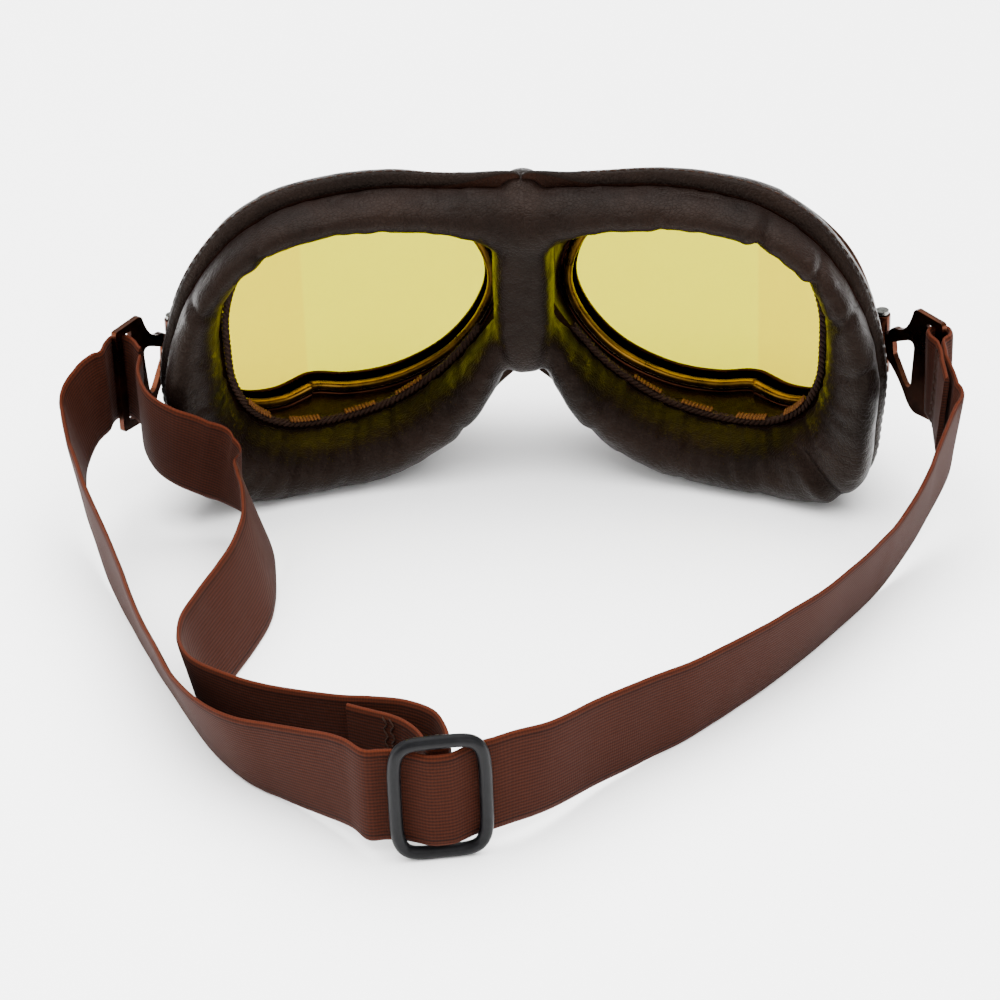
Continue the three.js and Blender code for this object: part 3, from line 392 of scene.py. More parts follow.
# %% Woven elastic band
def make_webbing():
    """Woven elastic: rubber cords run the length of the band and the weave stands up over each
    as a rib; fine picks cross them. Where the weave is low the colour is darker, partly the
    weave's pattern and partly painted shade in its hollows. It is dull and a little fuzzy.
    Beside each edge runs a dark line of painted shade, standing for a groove, and the edge
    itself is lightened and whitened, a painted highlight where the rounded edge catches the
    light. The pattern follows the band's own UV map, in metres."""
    material, tree, shader = start_material("woven_elastic")
    uv = add_node(tree, "ShaderNodeUVMap", {"uv_map": "UVMap"}).outputs["UV"]
    rib_mm, pick_mm = 0.9, 0.7
    ribs = add_node(tree, "ShaderNodeTexWave", {"bands_direction": "Y"}, Vector=uv,
                    Scale=314.0 / rib_mm, Distortion=0.4, Detail=1.0).outputs["Fac"]
    picks = add_node(tree, "ShaderNodeTexWave", {"bands_direction": "X"}, Vector=uv,
                     Scale=314.0 / pick_mm, Distortion=1.2, Detail=1.0).outputs["Fac"]
    spot = add_node(tree, "ShaderNodeTexCoord").outputs["Object"]
    fuzz = add_node(tree, "ShaderNodeTexNoise", None, Vector=spot, Scale=1400.0,
                    Detail=4.0).outputs["Fac"]
    tone = add_node(tree, "ShaderNodeTexNoise", None, Vector=spot, Scale=45.0,
                    Detail=3.0).outputs["Fac"]
    weave = add_node(tree, "ShaderNodeMath", {"operation": "MULTIPLY"}, i0=ribs, i1=0.75)
    weave = add_node(tree, "ShaderNodeMath", {"operation": "MULTIPLY_ADD"}, i0=picks, i1=0.25,
                     i2=weave.outputs[0]).outputs[0]
    # Darker where the weave is low: partly the weave's pattern, partly painted shade in the
    # hollows between ribs and picks.
    colour = ramp(tree, weave, [(0.0, "#180702"), (0.5, "#280e05"), (1.0, "#321307")])
    shade = ramp(tree, tone, [(0.3, grey(0.86)), (0.7, grey(1.0))])
    mixed = add_node(tree, "ShaderNodeMix", {"data_type": "RGBA", "blend_type": "MULTIPLY"},
                     i0=0.7)
    tree.links.new(colour, mixed.inputs[6])
    tree.links.new(shade, mixed.inputs[7])
    y_only = add_node(tree, "ShaderNodeSeparateXYZ", None, Vector=uv).outputs["Y"]
    off = add_node(tree, "ShaderNodeMath", {"operation": "SUBTRACT"}, i0=y_only, i1=0.0125)
    off = add_node(tree, "ShaderNodeMath", {"operation": "ABSOLUTE"}, i0=off.outputs[0])
    outer = add_node(tree, "ShaderNodeMapRange", None, Value=off.outputs[0], i1=0.0095,
                     i2=0.0125).outputs["Result"]
    # Painted shade and highlight: a dark line of painted shade beside each edge, and a painted
    # highlight that lightens and whitens the edge itself.
    edge_shade_and_highlight = ramp(tree, outer, [(0.0, grey(1.0)), (1.0, (1.7, 1.55, 1.35, 1.0)),
                                  (0.3, grey(0.95)), (0.42, grey(0.45)), (0.55, grey(1.05)),
                                  (0.75, (1.35, 1.25, 1.1, 1.0))])
    edged = add_node(tree, "ShaderNodeMix", {"data_type": "RGBA", "blend_type": "MULTIPLY"},
                     i0=1.0)
    tree.links.new(mixed.outputs[2], edged.inputs[6])
    tree.links.new(edge_shade_and_highlight, edged.inputs[7])
    tree.links.new(edged.outputs[2], shader.inputs["Base Color"])
    height = add_node(tree, "ShaderNodeMath", {"operation": "MULTIPLY_ADD"}, i0=fuzz, i1=0.5,
                      i2=weave).outputs[0]
    bump = add_node(tree, "ShaderNodeBump", None, Strength=0.35, Distance=0.0002, Height=height)
    tree.links.new(bump.outputs["Normal"], shader.inputs["Normal"])
    shader.inputs["Roughness"].default_value = 0.85
    shader.inputs["Specular IOR Level"].default_value = 0.08
    shader.inputs["Sheen Weight"].default_value = 0.01
    shader.inputs["Sheen Roughness"].default_value = 0.5
    return material


webbing = make_webbing()
print("webbing ready")


# %% Plated and bare metals
def make_metal(name, dark, light, roughness, mark_mm=5.0, scratch=0.15):
    """Plated or bare sheet metal: a coloured reflection whose tone and polish wander over
    a few millimetres where the plating is handled, with fine scratches in the normal."""
    material, tree, shader = start_material(name)
    spot = add_node(tree, "ShaderNodeTexCoord").outputs["Object"]
    marks = add_node(tree, "ShaderNodeTexNoise", None, Vector=spot, Scale=1000 / mark_mm,
                     Detail=6.0, Roughness=0.6).outputs["Fac"]
    tree.links.new(ramp(tree, marks, [(0.38, dark), (0.66, light)]), shader.inputs["Base Color"])
    polish = add_node(tree, "ShaderNodeMapRange", None, Value=marks, i1=0.3, i2=0.7,
                      i3=roughness - 0.08, i4=roughness + 0.12).outputs["Result"]
    tree.links.new(polish, shader.inputs["Roughness"])
    lines = add_node(tree, "ShaderNodeTexNoise", None, Vector=spot, Scale=2200.0,
                     Detail=2.0).outputs["Fac"]
    bump = add_node(tree, "ShaderNodeBump", None, Strength=scratch, Distance=0.00008,
                    Height=lines)
    tree.links.new(bump.outputs["Normal"], shader.inputs["Normal"])
    shader.inputs["Metallic"].default_value = 1.0
    return material


copper = make_metal("copper_plated_steel", "#35190f", "#55301f", 0.3, mark_mm=11.0)
brass = make_metal("aged_brass", "#5c4212", "#866222", 0.3)
steel = make_metal("bare_steel", "#6c6c68", "#8c8c88", 0.26, scratch=0.1)
print("metals ready")


# %% Lens, rubber, slider plastic and thread
def make_lens():
    """Tinted polycarbonate sheet: clear and polished, it takes the blue out of whatever is
    behind it. Typical IOR is 1.58. It is set to 1.06 here, which no real sheet has, because at
    1.58 the panes mirror the bright floor and the tint is lost; real highlights are lost with
    it. Past the crease, 62.5 mm from the middle, the side pane is a shade warmer: a painted tint
    that stands for the deeper yellow of light passing through the pane at a slant."""
    material, tree, shader = start_material("yellow_polycarbonate")
    spot = add_node(tree, "ShaderNodeTexCoord").outputs["Object"]
    x_only = add_node(tree, "ShaderNodeSeparateXYZ", None, Vector=spot).outputs["X"]
    middle = add_node(tree, "ShaderNodeMath", {"operation": "SUBTRACT"}, i0=x_only,
                      i1=float(SHIFT[0]) / 1000).outputs[0]
    apart = add_node(tree, "ShaderNodeMath", {"operation": "ABSOLUTE"}, i0=middle).outputs[0]
    # Painted tint: past the crease the side pane's colour is a shade warmer, standing for the
    # deeper yellow of light through it at a slant.
    slant_tint_mask = add_node(tree, "ShaderNodeMapRange", None, Value=apart, i1=0.0623,
                      i2=0.0627).outputs["Result"]
    tint = ramp(tree, slant_tint_mask, [(0.0, "#a09900"), (1.0, "#9f9100")])
    tree.links.new(tint, shader.inputs["Base Color"])
    shader.inputs["Roughness"].default_value = 0.02
    shader.inputs["IOR"].default_value = 1.06
    shader.inputs["Specular Tint"].default_value = linear("#fff08a")
    shader.inputs["Transmission Weight"].default_value = 1.0
    return material


def make_plain(name, dark, light, roughness, speck_mm, bump_mm):
    """Moulded rubber or plastic, or twisted thread: one colour with a faint mottle, and a
    fine skin texture from the mould or the fibres."""
    material, tree, shader = start_material(name)
    spot = add_node(tree, "ShaderNodeTexCoord").outputs["Object"]
    skin = add_node(tree, "ShaderNodeTexNoise", None, Vector=spot, Scale=1000 / speck_mm,
                    Detail=4.0).outputs["Fac"]
    tree.links.new(ramp(tree, skin, [(0.3, dark), (0.7, light)]), shader.inputs["Base Color"])
    bump = add_node(tree, "ShaderNodeBump", None, Strength=0.4, Distance=bump_mm / 1000,
                    Height=skin)
    tree.links.new(bump.outputs["Normal"], shader.inputs["Normal"])
    shader.inputs["Roughness"].default_value = roughness
    shader.inputs["Specular IOR Level"].default_value = 0.12
    return material


lens_plastic = make_lens()
rubber = make_plain("black_rubber", "#080706", "#100d0b", 0.6, 1.2, 0.1)
slider_plastic = make_plain("moulded_nylon", "#050506", "#0a0a0c", 0.4, 1.6, 0.06)
# The thread is set lighter than the dark brown it shares with the leather: a painted highlight,
# so that its turns show.
thread = make_plain("polyester_thread", "#1c110c", "#2e1d14", 0.7, 0.5, 0.12)
tack_thread = make_plain("bar_tack_thread", "#4a2a10", "#6b4422", 0.7, 0.5, 0.15)
print("lens, rubber, plastic and thread ready")


# %% [markdown]
# ## Metal parts that keep their drawn shape
# Hinge leaves, pins, rivets, lugs and brackets are already right. They only need a finish
# and slightly broken edges, so that the light catches them: a Bevel after welding the
# loose triangles does that without touching the drawn mesh.


# %% Hinges and brackets
def finish_node(name, material, edge_mm=0.0):
    """Gives a drawn node its material, and optionally softens its edges."""
    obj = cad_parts[name]
    obj.data.materials.clear()
    obj.data.materials.append(material)
    if edge_mm:
        weld = obj.modifiers.new("weld", "WELD")
        weld.merge_threshold = 0.00002
        bevel = obj.modifiers.new("soft_edges", "BEVEL")
        bevel.width = edge_mm / 1000
        bevel.segments = 2
        bevel.limit_method = "ANGLE"
        bevel.angle_limit = math.radians(35)
        bevel.harden_normals = False
    return obj


for side in ("left", "right"):
    finish_node(f"strap_bracket_{side}", copper, 0.3)
    finish_node(f"temple_lug_{side}", copper, 0.15)
    finish_node(f"temple_pin_{side}", steel)
    finish_node(f"nose_leaf_{side}", steel, 0.12)
    finish_node(f"lens_{side}", lens_plastic)
    for level in ("lower", "upper"):
        finish_node(f"nose_rivet_{side}_{level}", steel, 0.1)
finish_node("nose_pin", steel)
print("drawn nodes finished")

# %% [markdown]
# ## Frames
# Each metal rim is a channel bent round the sight opening. The drawn solid has few sides,
# so a finer one is computed: the same outline, sampled far more closely, with the same
# channel section carried round it. Along the crease the section turns half way between
# the two panes, as a mitre does.

# %% The bent lens plane and the sight outline
HALF_WIDTH, HEIGHT = 96.0, 86.0
LENS_X, LENS_Y, LENS_Z = 12.5, 37.0, 11.5
LENS_W, LENS_H = 75.0, 54.0
CREASE = 62.5
FRONT_SLOPE, SIDE_SLOPE = 0.12, 0.63
RIM = 5.2


def lens_y(x):
    """Two straight lines in plan that meet at the crease."""
    front = LENS_Y - FRONT_SLOPE * (x - LENS_X)
    return np.where(x <= CREASE, front,
                    LENS_Y - FRONT_SLOPE * (CREASE - LENS_X) - SIDE_SLOPE * (x - CREASE))


def pane_normal(x):
    """Forward direction of the pane at x; it swings over half a millimetre at the crease."""
    share = np.clip((x - CREASE) / 0.5 + 0.5, 0, 1)
    slope = FRONT_SLOPE + (SIDE_SLOPE - FRONT_SLOPE) * share
    return unit(np.stack([slope, np.ones_like(slope), np.zeros_like(slope)], -1))


SIGHT = np.array([
    [0.0, 0.58], [0.035, 0.4], [0.16, 0.19], [0.35, 0.055], [0.52, 0.02], [0.645, 0.035],
    [0.78, 0.0], [0.9, 0.05], [0.98, 0.19], [1.0, 0.4], [0.985, 0.62], [0.91, 0.82],
    [0.77, 0.95], [0.58, 1.0], [0.37, 0.995], [0.18, 0.93], [0.06, 0.8],
])
SIGHT_MM = np.array([LENS_X, LENS_Z]) + SIGHT * [LENS_W, LENS_H]
EYE = np.array([LENS_X + LENS_W / 2, LENS_Z + LENS_H / 2])
steps = 260
outline = through(SIGHT_MM, np.arange(steps) / steps, closed=True)
tangent = unit(np.roll(outline, -1, 0) - np.roll(outline, 1, 0))
outward = np.stack([tangent[:, 1], -tangent[:, 0]], -1)
outward *= np.sign(np.sum(outward * (outline - EYE), axis=1))[:, None]


def mirrored(points, side):
    """The right-hand shape, or its mirror image across the nose for the left."""
    return points * [side, 1, 1]


def sight_ring(name, section, side):
    """Carries a section, given as (outward, forward) pairs, round the sight opening."""
    section = np.asarray(section, float)
    flat = outline[:, None] + outward[:, None] * section[None, :, :1]
    x, z = flat[..., 0], flat[..., 1]
    points = np.stack([x, lens_y(x), z], -1) + pane_normal(x) * section[None, :, 1:]
    return grid_mesh(name, mirrored(points, side), loop_rows=True)


def rounded(corners, radius, steps=3):
    """Replaces each corner of a section by a short arc-like curve: three blends between
    the points a radius before and after it."""
    corners = np.asarray(corners, float)
    before, after = np.roll(corners, 1, 0), np.roll(corners, -1, 0)
    reach_in = np.minimum(radius, np.linalg.norm(corners - before, axis=1) * 0.45)
    reach_out = np.minimum(radius, np.linalg.norm(after - corners, axis=1) * 0.45)
    a = corners + unit(before - corners) * reach_in[:, None]
    b = corners + unit(after - corners) * reach_out[:, None]
    w = np.linspace(0, 1, steps + 1)[None, :, None]
    curve = a[:, None] * (1 - w) ** 2 + 2 * corners[:, None] * w * (1 - w) + b[:, None] * w**2
    return curve.reshape(-1, 2)


RIM_SECTION = [(0, 1.2), (0, 2.6), (0.8, 3.2), (4.0, 3.2), (5.2, 2.2), (5.2, -4.0),
               (3.4, -4.0), (3.4, 1.2)]
GASKET_SECTION = [(1.1, -1.2), (2.9, -1.2), (2.9, -2.4), (1.1, -2.4)]
CLAMP_SECTION = [(0.5, -2.5), (2.6, -2.5), (2.6, -4.7), (1.2, -4.7), (0.5, -4.1)]
for side, word in ((1, "right"), (-1, "left")):
    for part, section, radius, material, slot_name in (
        ("frame", RIM_SECTION, 0.5, copper, "copper_plate"),
        ("lens_gasket", GASKET_SECTION, 0.3, rubber, "black_rubber"),
        ("clamp_ring", CLAMP_SECTION, 0.4, brass, "aged_brass"),
    ):
        piece = sight_ring(f"{part}_{word}_fine", rounded(section, radius), side)
        piece.data.materials.append(material)
        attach(piece, f"frame_{word}")
        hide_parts(f"{part}_{word}")
print("frames, gaskets and clamp rings:", steps, "stations each")

# %% [markdown]
# ## The leather mask: its seams
# The mask is two rings of foam-filled leather and a nose column. Two seams shape it: an
# outer one where the pad meets the side wall, and an inner overlocked one inside the cup.
# Both are curves through stations given as shares of the mask's half width and height.

# %% Seams of the mask
MASK = np.array([
    [0.0625, 0.985, 0.0625, 0.755], [0.2, 0.985, 0.165, 0.835], [0.38, 1.0, 0.35, 0.87],
    [0.53, 0.995, 0.51, 0.88], [0.68, 0.968, 0.63, 0.86], [0.81, 0.893, 0.72, 0.81],
    [0.91, 0.77, 0.79, 0.73], [0.97, 0.63, 0.825, 0.62], [1.0, 0.48, 0.83, 0.49],
    [0.99, 0.3, 0.82, 0.36], [0.97, 0.13, 0.775, 0.25], [0.88, 0.03, 0.69, 0.18],
    [0.73, 0.0, 0.585, 0.16], [0.58, 0.0, 0.48, 0.17], [0.43, 0.008, 0.38, 0.2],
    [0.3, 0.06, 0.285, 0.26], [0.19, 0.145, 0.2, 0.34], [0.105, 0.26, 0.12, 0.45],
    [0.0625, 0.36, 0.0625, 0.56],
])
MASK_MM = MASK * [HALF_WIDTH, HEIGHT, HALF_WIDTH, HEIGHT]
MASK_MM[:, :2] *= [0.972, 0.98]  # the seam is drawn in; the wall swells past it


def seam_y(x):
    """The mask wraps the face: its seam falls back with the square of the distance."""
    return 6.0 - 28.0 * (x / HALF_WIDTH) ** 2


brow = np.array([[0.0, 82.6, 0.0, 63.5]])
right_half = MASK_MM[1:].copy()
right_half[-1] = [4.6, 32.0, 4.6, 47.0]
left_half = right_half * [-1, 1, -1, 1]
PAD_STATIONS = np.vstack([right_half[::-1], brow, left_half])
print("pad stations", len(PAD_STATIONS))

# %% [markdown]
# ## The pad
# A foam roll in soft leather. Its plan section is a half dome that stands 14 mm towards the
# face; the leather then turns in over the cup's edge to the overlocked seam. First the
# smooth roll is computed. A copy of it, remeshed to even cells, is then inflated as cloth,
# and the way that copy swells is carried back to the fine surface. Last come the folds,
# where the leather is gathered round tight corners.


# %% The pad's smooth shape
def pad_surface(count, dome_steps):
    """Row t: a station on both seams. Around it, the dome goes from the outer seam over the
    face side to the inner seam, with depth 14 times the sine of the angle, to the power
    0.72; then a short turned-in lip, and the flat back of the foam."""
    t = np.linspace(0, 1, count)
    seams = through(PAD_STATIONS, t)
    outer, inner = seams[:, :2], seams[:, 2:]
    angle = np.linspace(0, np.pi, dome_steps)
    share = (1 - np.cos(angle)) / 2
    depth = -14.0 * np.sin(angle) ** 0.72
    share = np.concatenate([share, [1.0, 0.97, 0.75, 0.5, 0.25, 0.06]])
    depth = np.concatenate([depth, [3.0, 5.2, 4.2, 3.2, 2.4, 1.4]])
    flat = outer[:, None] + (inner - outer)[:, None] * share[None, :, None]
    taper = np.clip(np.minimum(t, 1 - t) / 0.035, 0, 1)[:, None] ** 0.5
    y = seam_y(flat[..., 0]) + depth[None] * (0.45 + 0.55 * taper)
    return np.stack([flat[..., 0], y, np.maximum(flat[..., 1], 0.15)], -1)


pad_points = pad_surface(420, 30)
print("pad grid", pad_points.shape[:2])


# %% Inflating a copy as cloth
def swelling(points, cell_mm, pressure, cap_mm):
    """How a closed surface swells: a voxel-remeshed copy is run as cloth under pressure for
    20 frames without gravity. Each point's move is capped. Returns the copy's points and
    moves, in drawing millimetres."""
    copy = grid_mesh("swelling_copy", points)
    remesh = copy.modifiers.new("cells", "REMESH")
    remesh.mode = "VOXEL"
    remesh.voxel_size = cell_mm / 1000
    with bpy.context.temp_override(object=copy, active_object=copy):
        bpy.ops.object.modifier_apply(modifier="cells")
    start = np.empty(len(copy.data.vertices) * 3)
    copy.data.vertices.foreach_get("co", start)
    start = start.reshape(-1, 3) * 1000 - SHIFT
    cloth = copy.modifiers.new("cloth", "CLOTH")
    cloth.settings.quality = 5
    cloth.settings.use_pressure = True
    cloth.settings.uniform_pressure_force = pressure
    cloth.settings.tension_stiffness = 12
    cloth.settings.compression_stiffness = 5
    cloth.settings.bending_stiffness = 0.4
    cloth.settings.effector_weights.gravity = 0
    cloth.point_cache.frame_start = 1
    cloth.point_cache.frame_end = 20
    for number in range(1, 21):
        bpy.context.scene.frame_set(number)
    graph = bpy.context.evaluated_depsgraph_get()
    final = copy.evaluated_get(graph).to_mesh()
    stop = np.empty(len(final.vertices) * 3)
    final.vertices.foreach_get("co", stop)
    stop = stop.reshape(-1, 3) * 1000 - SHIFT
    bpy.context.scene.frame_set(1)
    bpy.data.objects.remove(copy)
    move = stop - start
    move -= move.mean(0)
    size = np.linalg.norm(move, axis=1, keepdims=True)
    return start, move * np.minimum(1, cap_mm / np.maximum(size, 1e-6))


def carried(points, start, move, reach_mm):
    """Each fine point takes the average move of the coarse points round it, weighted by a
    bell curve of their distance. The distances are worked out for 1500 points at a time,
    to save memory."""
    flat = points.reshape(-1, 3)
    out = np.zeros_like(flat)
    for i in range(0, len(flat), 1500):
        part = flat[i:i + 1500]
        near = ((part[:, None] - start[None]) ** 2).sum(-1)
        weight = np.exp(-(near - near.min(1, keepdims=True)) / (2 * reach_mm**2))
        out[i:i + 1500] = weight @ move / weight.sum(1, keepdims=True)
    return out.reshape(points.shape)


start, move = swelling(pad_points[::3], 4.5, 4.0, 3.0)
pad_points = pad_points + carried(pad_points, start, move, 3.0) * 0.8
print("swelled by up to", np.abs(move).max().round(2), "mm from", len(start), "points")

# %% [markdown]
# Folds are valleys along short lines. The depth falls off as a bell curve across the line
# and smoothly at its two ends, and one bank is lifted a little, as leather does when it is
# pushed together.


# %% Folds and gathers
FOLDS = [  # x, z of each end; depth; width
    (-69.5, 82.0, -64.0, 70.0, 1.0, 1.3), (-88.0, 66.0, -76.5, 59.0, 1.4, 1.4),
    (-60.0, 18.0, -64.5, 1.5, 0.7, 1.8), (-38.0, 20.0, -41.0, 2.0, 0.6, 2.0),
    (66.0, 83.0, 59.0, 71.5, 1.8, 1.4), (79.5, 74.0, 72.0, 62.5, 1.7, 1.4),
    (87.0, 61.0, 77.0, 54.5, 1.2, 1.3), (34.0, 82.0, 39.0, 72.5, 0.7, 1.8),
    (72.5, 18.5, 84.0, 5.0, 2.2, 1.5), (60.0, 14.0, 63.0, 1.5, 0.6, 1.7),
    (44.0, 15.0, 41.0, 1.5, 0.8, 1.8), (22.0, 24.0, 16.0, 12.0, 0.9, 1.8),
    (-22.0, 24.0, -15.5, 12.0, 1.0, 1.8), (-80.0, 24.0, -92.0, 10.0, 1.2, 2.0),
    (94.0, 46.0, 82.0, 43.0, 0.9, 1.6), (14.0, 84.0, 9.0, 66.0, 0.7, 2.6),
    (-14.0, 84.0, -9.0, 66.0, 0.7, 2.6), (-50.0, 86.0, -47.0, 76.0, 0.5, 2.0),
]


def fold(points, normals, x1, z1, x2, z2, depth, width):
    """Pushes points in along the valley from (x1, z1) to (x2, z2): a pointed bell across,
    a smooth step at the ends, and a bank of a third of the depth beside it. Only leather
    that faces backwards is pushed, so the outline stays calm."""
    start, stop = np.array([x1, z1]), np.array([x2, z2])
    line = stop - start
    length = np.linalg.norm(line)
    away = points[..., [0, 2]] - start
    along = away @ line / length**2
    across = (away[..., 0] * line[1] - away[..., 1] * line[0]) / length
    inside = np.clip((along + 0.12) / 0.25, 0, 1) * np.clip((1.12 - along) / 0.25, 0, 1)
    inside = inside * inside * (3 - 2 * inside) * np.clip(0.25 - 1.4 * normals[..., 1], 0, 1)
    valley = np.exp(-np.abs(across / width) ** 1.4)
    bank = np.exp(-((across - 2.1 * width) / (1.3 * width)) ** 2)
    return points + normals * ((0.34 * bank - valley) * depth * inside)[..., None]


def waves(points, sizes_mm, seed):
    """A sum of smooth waves in random directions, one batch for each wavelength, with its
    strength in proportion to the wavelength; between about -1 and 1."""
    random = np.random.default_rng(seed)
    total = np.zeros(points.shape[:-1])
    for size in sizes_mm:
        directions = unit(random.normal(size=(5, 3))) * 2 * np.pi / size
        phase = random.uniform(0, 2 * np.pi, 5)
        total += np.sin(points @ directions.T + phase).sum(-1) * size / sizes_mm[0] / 3.5
    return total


print("folds", len(FOLDS))

# %% [markdown]
# ## The side wall
# From the outer seam the leather runs forwards to the back of the metal frame, and from the
# overlocked seam inside the cup its lining does the same. Between them lies foam, so each
# wall is a closed ring with a wedge-shaped section. Rays from the middle of the eye pair
# each seam point with the rim point that faces it.

# %% Side walls
BEHIND_RIM = 4.5
WALL_ROWS, WALL_STEPS = 300, 18  # round the eye; from the seam to the rim
WALL_OUT = np.vstack([[[0.3, 85.0]], MASK_MM[1:-1, :2], [[0.3, 31.5], [4.0, 42], [4.2, 57],
                                                         [4.0, 72]]])
WALL_IN = np.vstack([[[7.4, 64.5]], MASK_MM[1:-1, 2:], [[7.0, 46.5], [7.8, 51], [8.2, 56],
                                                        [8.0, 60.5]]])
rim_angle = np.arctan2(outline[:, 1] - EYE[1], outline[:, 0] - EYE[0])
rim_order = np.argsort(rim_angle)


def rim_point(seam, out_mm):
    """The point of the frame's back edge that a ray from the eye's middle through each
    seam point meets, moved outwards by out_mm."""
    angle = np.arctan2(seam[:, 1] - EYE[1], seam[:, 0] - EYE[0])
    table = (outline + outward * out_mm)[rim_order]
    x = np.interp(angle, rim_angle[rim_order], table[:, 0], period=2 * np.pi)
    z = np.interp(angle, rim_angle[rim_order], table[:, 1], period=2 * np.pi)
    return np.stack([x, lens_y(x), z], -1) - pane_normal(x) * BEHIND_RIM


def wall_surface(count):
    """Row t goes round the eye. The outer leather goes from the seam to the rim and swells
    by 3.2 mm, rising to 5.6 mm along the brow and halved at the nose, fullest near the
    seam; the lining comes back with a sag of 1.2 mm."""
    t = np.arange(count) / count
    seam = through(WALL_OUT, t, closed=True)
    lip = through(WALL_IN, t, closed=True)
    seam3 = np.stack([seam[:, 0], seam_y(seam[:, 0]) + 0.9, seam[:, 1]], -1)
    lip3 = np.stack([lip[:, 0], seam_y(lip[:, 0]) + 6.4, lip[:, 1]], -1)
    away = unit(seam - EYE)
    away = np.stack([away[:, 0], np.zeros(count), away[:, 1]], -1)
    s = np.linspace(0, 1, WALL_STEPS)[None, :, None]
    rim_out, rim_in = rim_point(seam, RIM - 0.2), rim_point(lip, RIM - 1.0)
    lift = 3.2 + 2.4 * np.clip((seam[:, 1] - 50) / 25, 0, 1)
    lift = (lift * (0.5 + 0.5 * np.clip((seam[:, 0] - 3) / 14, 0, 1)))[:, None, None]
    swell = np.sin(np.pi * s**0.55) ** 0.9 * lift
    outer = seam3[:, None] * (1 - s) + rim_out[:, None] * s + away[:, None] * swell
    inner_away = unit(lip - EYE)
    inner_away = np.stack([inner_away[:, 0], np.zeros(count), inner_away[:, 1]], -1)
    sag = np.sin(np.pi * s) * 1.2
    inner = rim_in[:, None] * (1 - s) + lip3[:, None] * s + inner_away[:, None] * sag
    points = np.concatenate([outer, inner], axis=1)
    points[..., 2] = np.maximum(points[..., 2], 0.1)
    points[..., 0] = np.maximum(points[..., 0], 0.25)
    return points


SEAM_LINES = {}
for side, word in ((1, "right"), (-1, "left")):
    points = wall_surface(WALL_ROWS)
    ripples = waves(mirrored(points, side), (22.0, 9.0, 5.0), 11)
    middle = np.sin(np.linspace(0, np.pi, WALL_STEPS))
    strength = np.concatenate([middle * 0.55, middle * 0.2])
    points = points + unit(points - points.mean(1, keepdims=True)) * (
        ripples * strength[None])[..., None]
    points[..., 2] = np.maximum(points[..., 2], 0.1)
    SEAM_LINES[word] = mirrored(points, side)[:, 2]
    wall = grid_mesh(f"mask_wall_{word}", mirrored(points, side), loop_rows=True)
    wall.data.materials.append(lining_leather)
    wall.data.materials.append(pad_leather)
    ring = np.arange(WALL_ROWS * 2 * WALL_STEPS) % (2 * WALL_STEPS)
    outer_skin = ring < WALL_STEPS - 1
    wall.data.polygons.foreach_set("material_index", outer_skin.astype(np.int32))
    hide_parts(f"side_wall_{word}")
    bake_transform(wall)
print("walls made, faces each", len(wall.data.polygons))

# %% [markdown]
# ## The nose column
# Between the eyes a narrow padded column runs from the brow to the nose notch, and forwards
# to the hinge. It is a stack of rounded upright sections.

# %% Nose column
NOSE = np.array([  # y, half width, low z, high z
    [-6.9, 3.4, 40.0, 72.0], [-6.0, 5.8, 36.0, 76.0], [-3.5, 7.2, 32.5, 79.5],
    [0.5, 8.0, 30.4, 81.5], [6.0, 8.0, 29.8, 84.2], [14.0, 7.4, 28.5, 84.0],
    [22.0, 6.0, 27.0, 78.5], [27.0, 4.4, 26.5, 71.0],
])


def nose_surface(count, around):
    """Each section is a tall rounded bar: x follows a squared-off cosine, z a squared-off
    sine, between the section's half width, low and high."""
    rows = through(NOSE, np.linspace(0, 1, count))
    a = np.linspace(0, 2 * np.pi, around, endpoint=False)
    squared = lambda v, power: np.sign(v) * np.abs(v) ** power
    x = rows[:, 1:2] * squared(np.cos(a), 0.55)
    z = rows[:, 2:3] + (rows[:, 3:4] - rows[:, 2:3]) * (0.5 + 0.5 * squared(np.sin(a), 0.8))
    return np.stack([x, np.repeat(rows[:, :1], around, 1), z], -1)


nose_points = nose_surface(60, 72)
nose = grid_mesh("nose_column", nose_points)
print("nose column faces", len(nose.data.polygons))

# %% [markdown]
# Roll and column are one skin in the real thing. The two meshes are joined and remeshed in
# one millimetre cells, which welds them, then smoothed. Folds and ripples are pressed into
# the result along its own normals. Round each opening the leather is also gathered: narrow
# rays, as a sum of sines of the angle about the eye, that fade away from the inner seam.


# %% One skin for pad and nose
def read_vertices(mesh, what):
    """Positions or normals of a mesh's vertices as an array of rows."""
    values = np.empty(len(mesh.vertices) * 3)
    if what == "co":
        mesh.vertices.foreach_get("co", values)
    else:
        mesh.vertex_normals.foreach_get("vector", values)
    return values.reshape(-1, 3)


def apply_all(obj):
    """Applies every modifier of an object, in order."""
    with bpy.context.temp_override(object=obj, active_object=obj):
        for modifier in list(obj.modifiers):
            bpy.ops.object.modifier_apply(modifier=modifier.name)


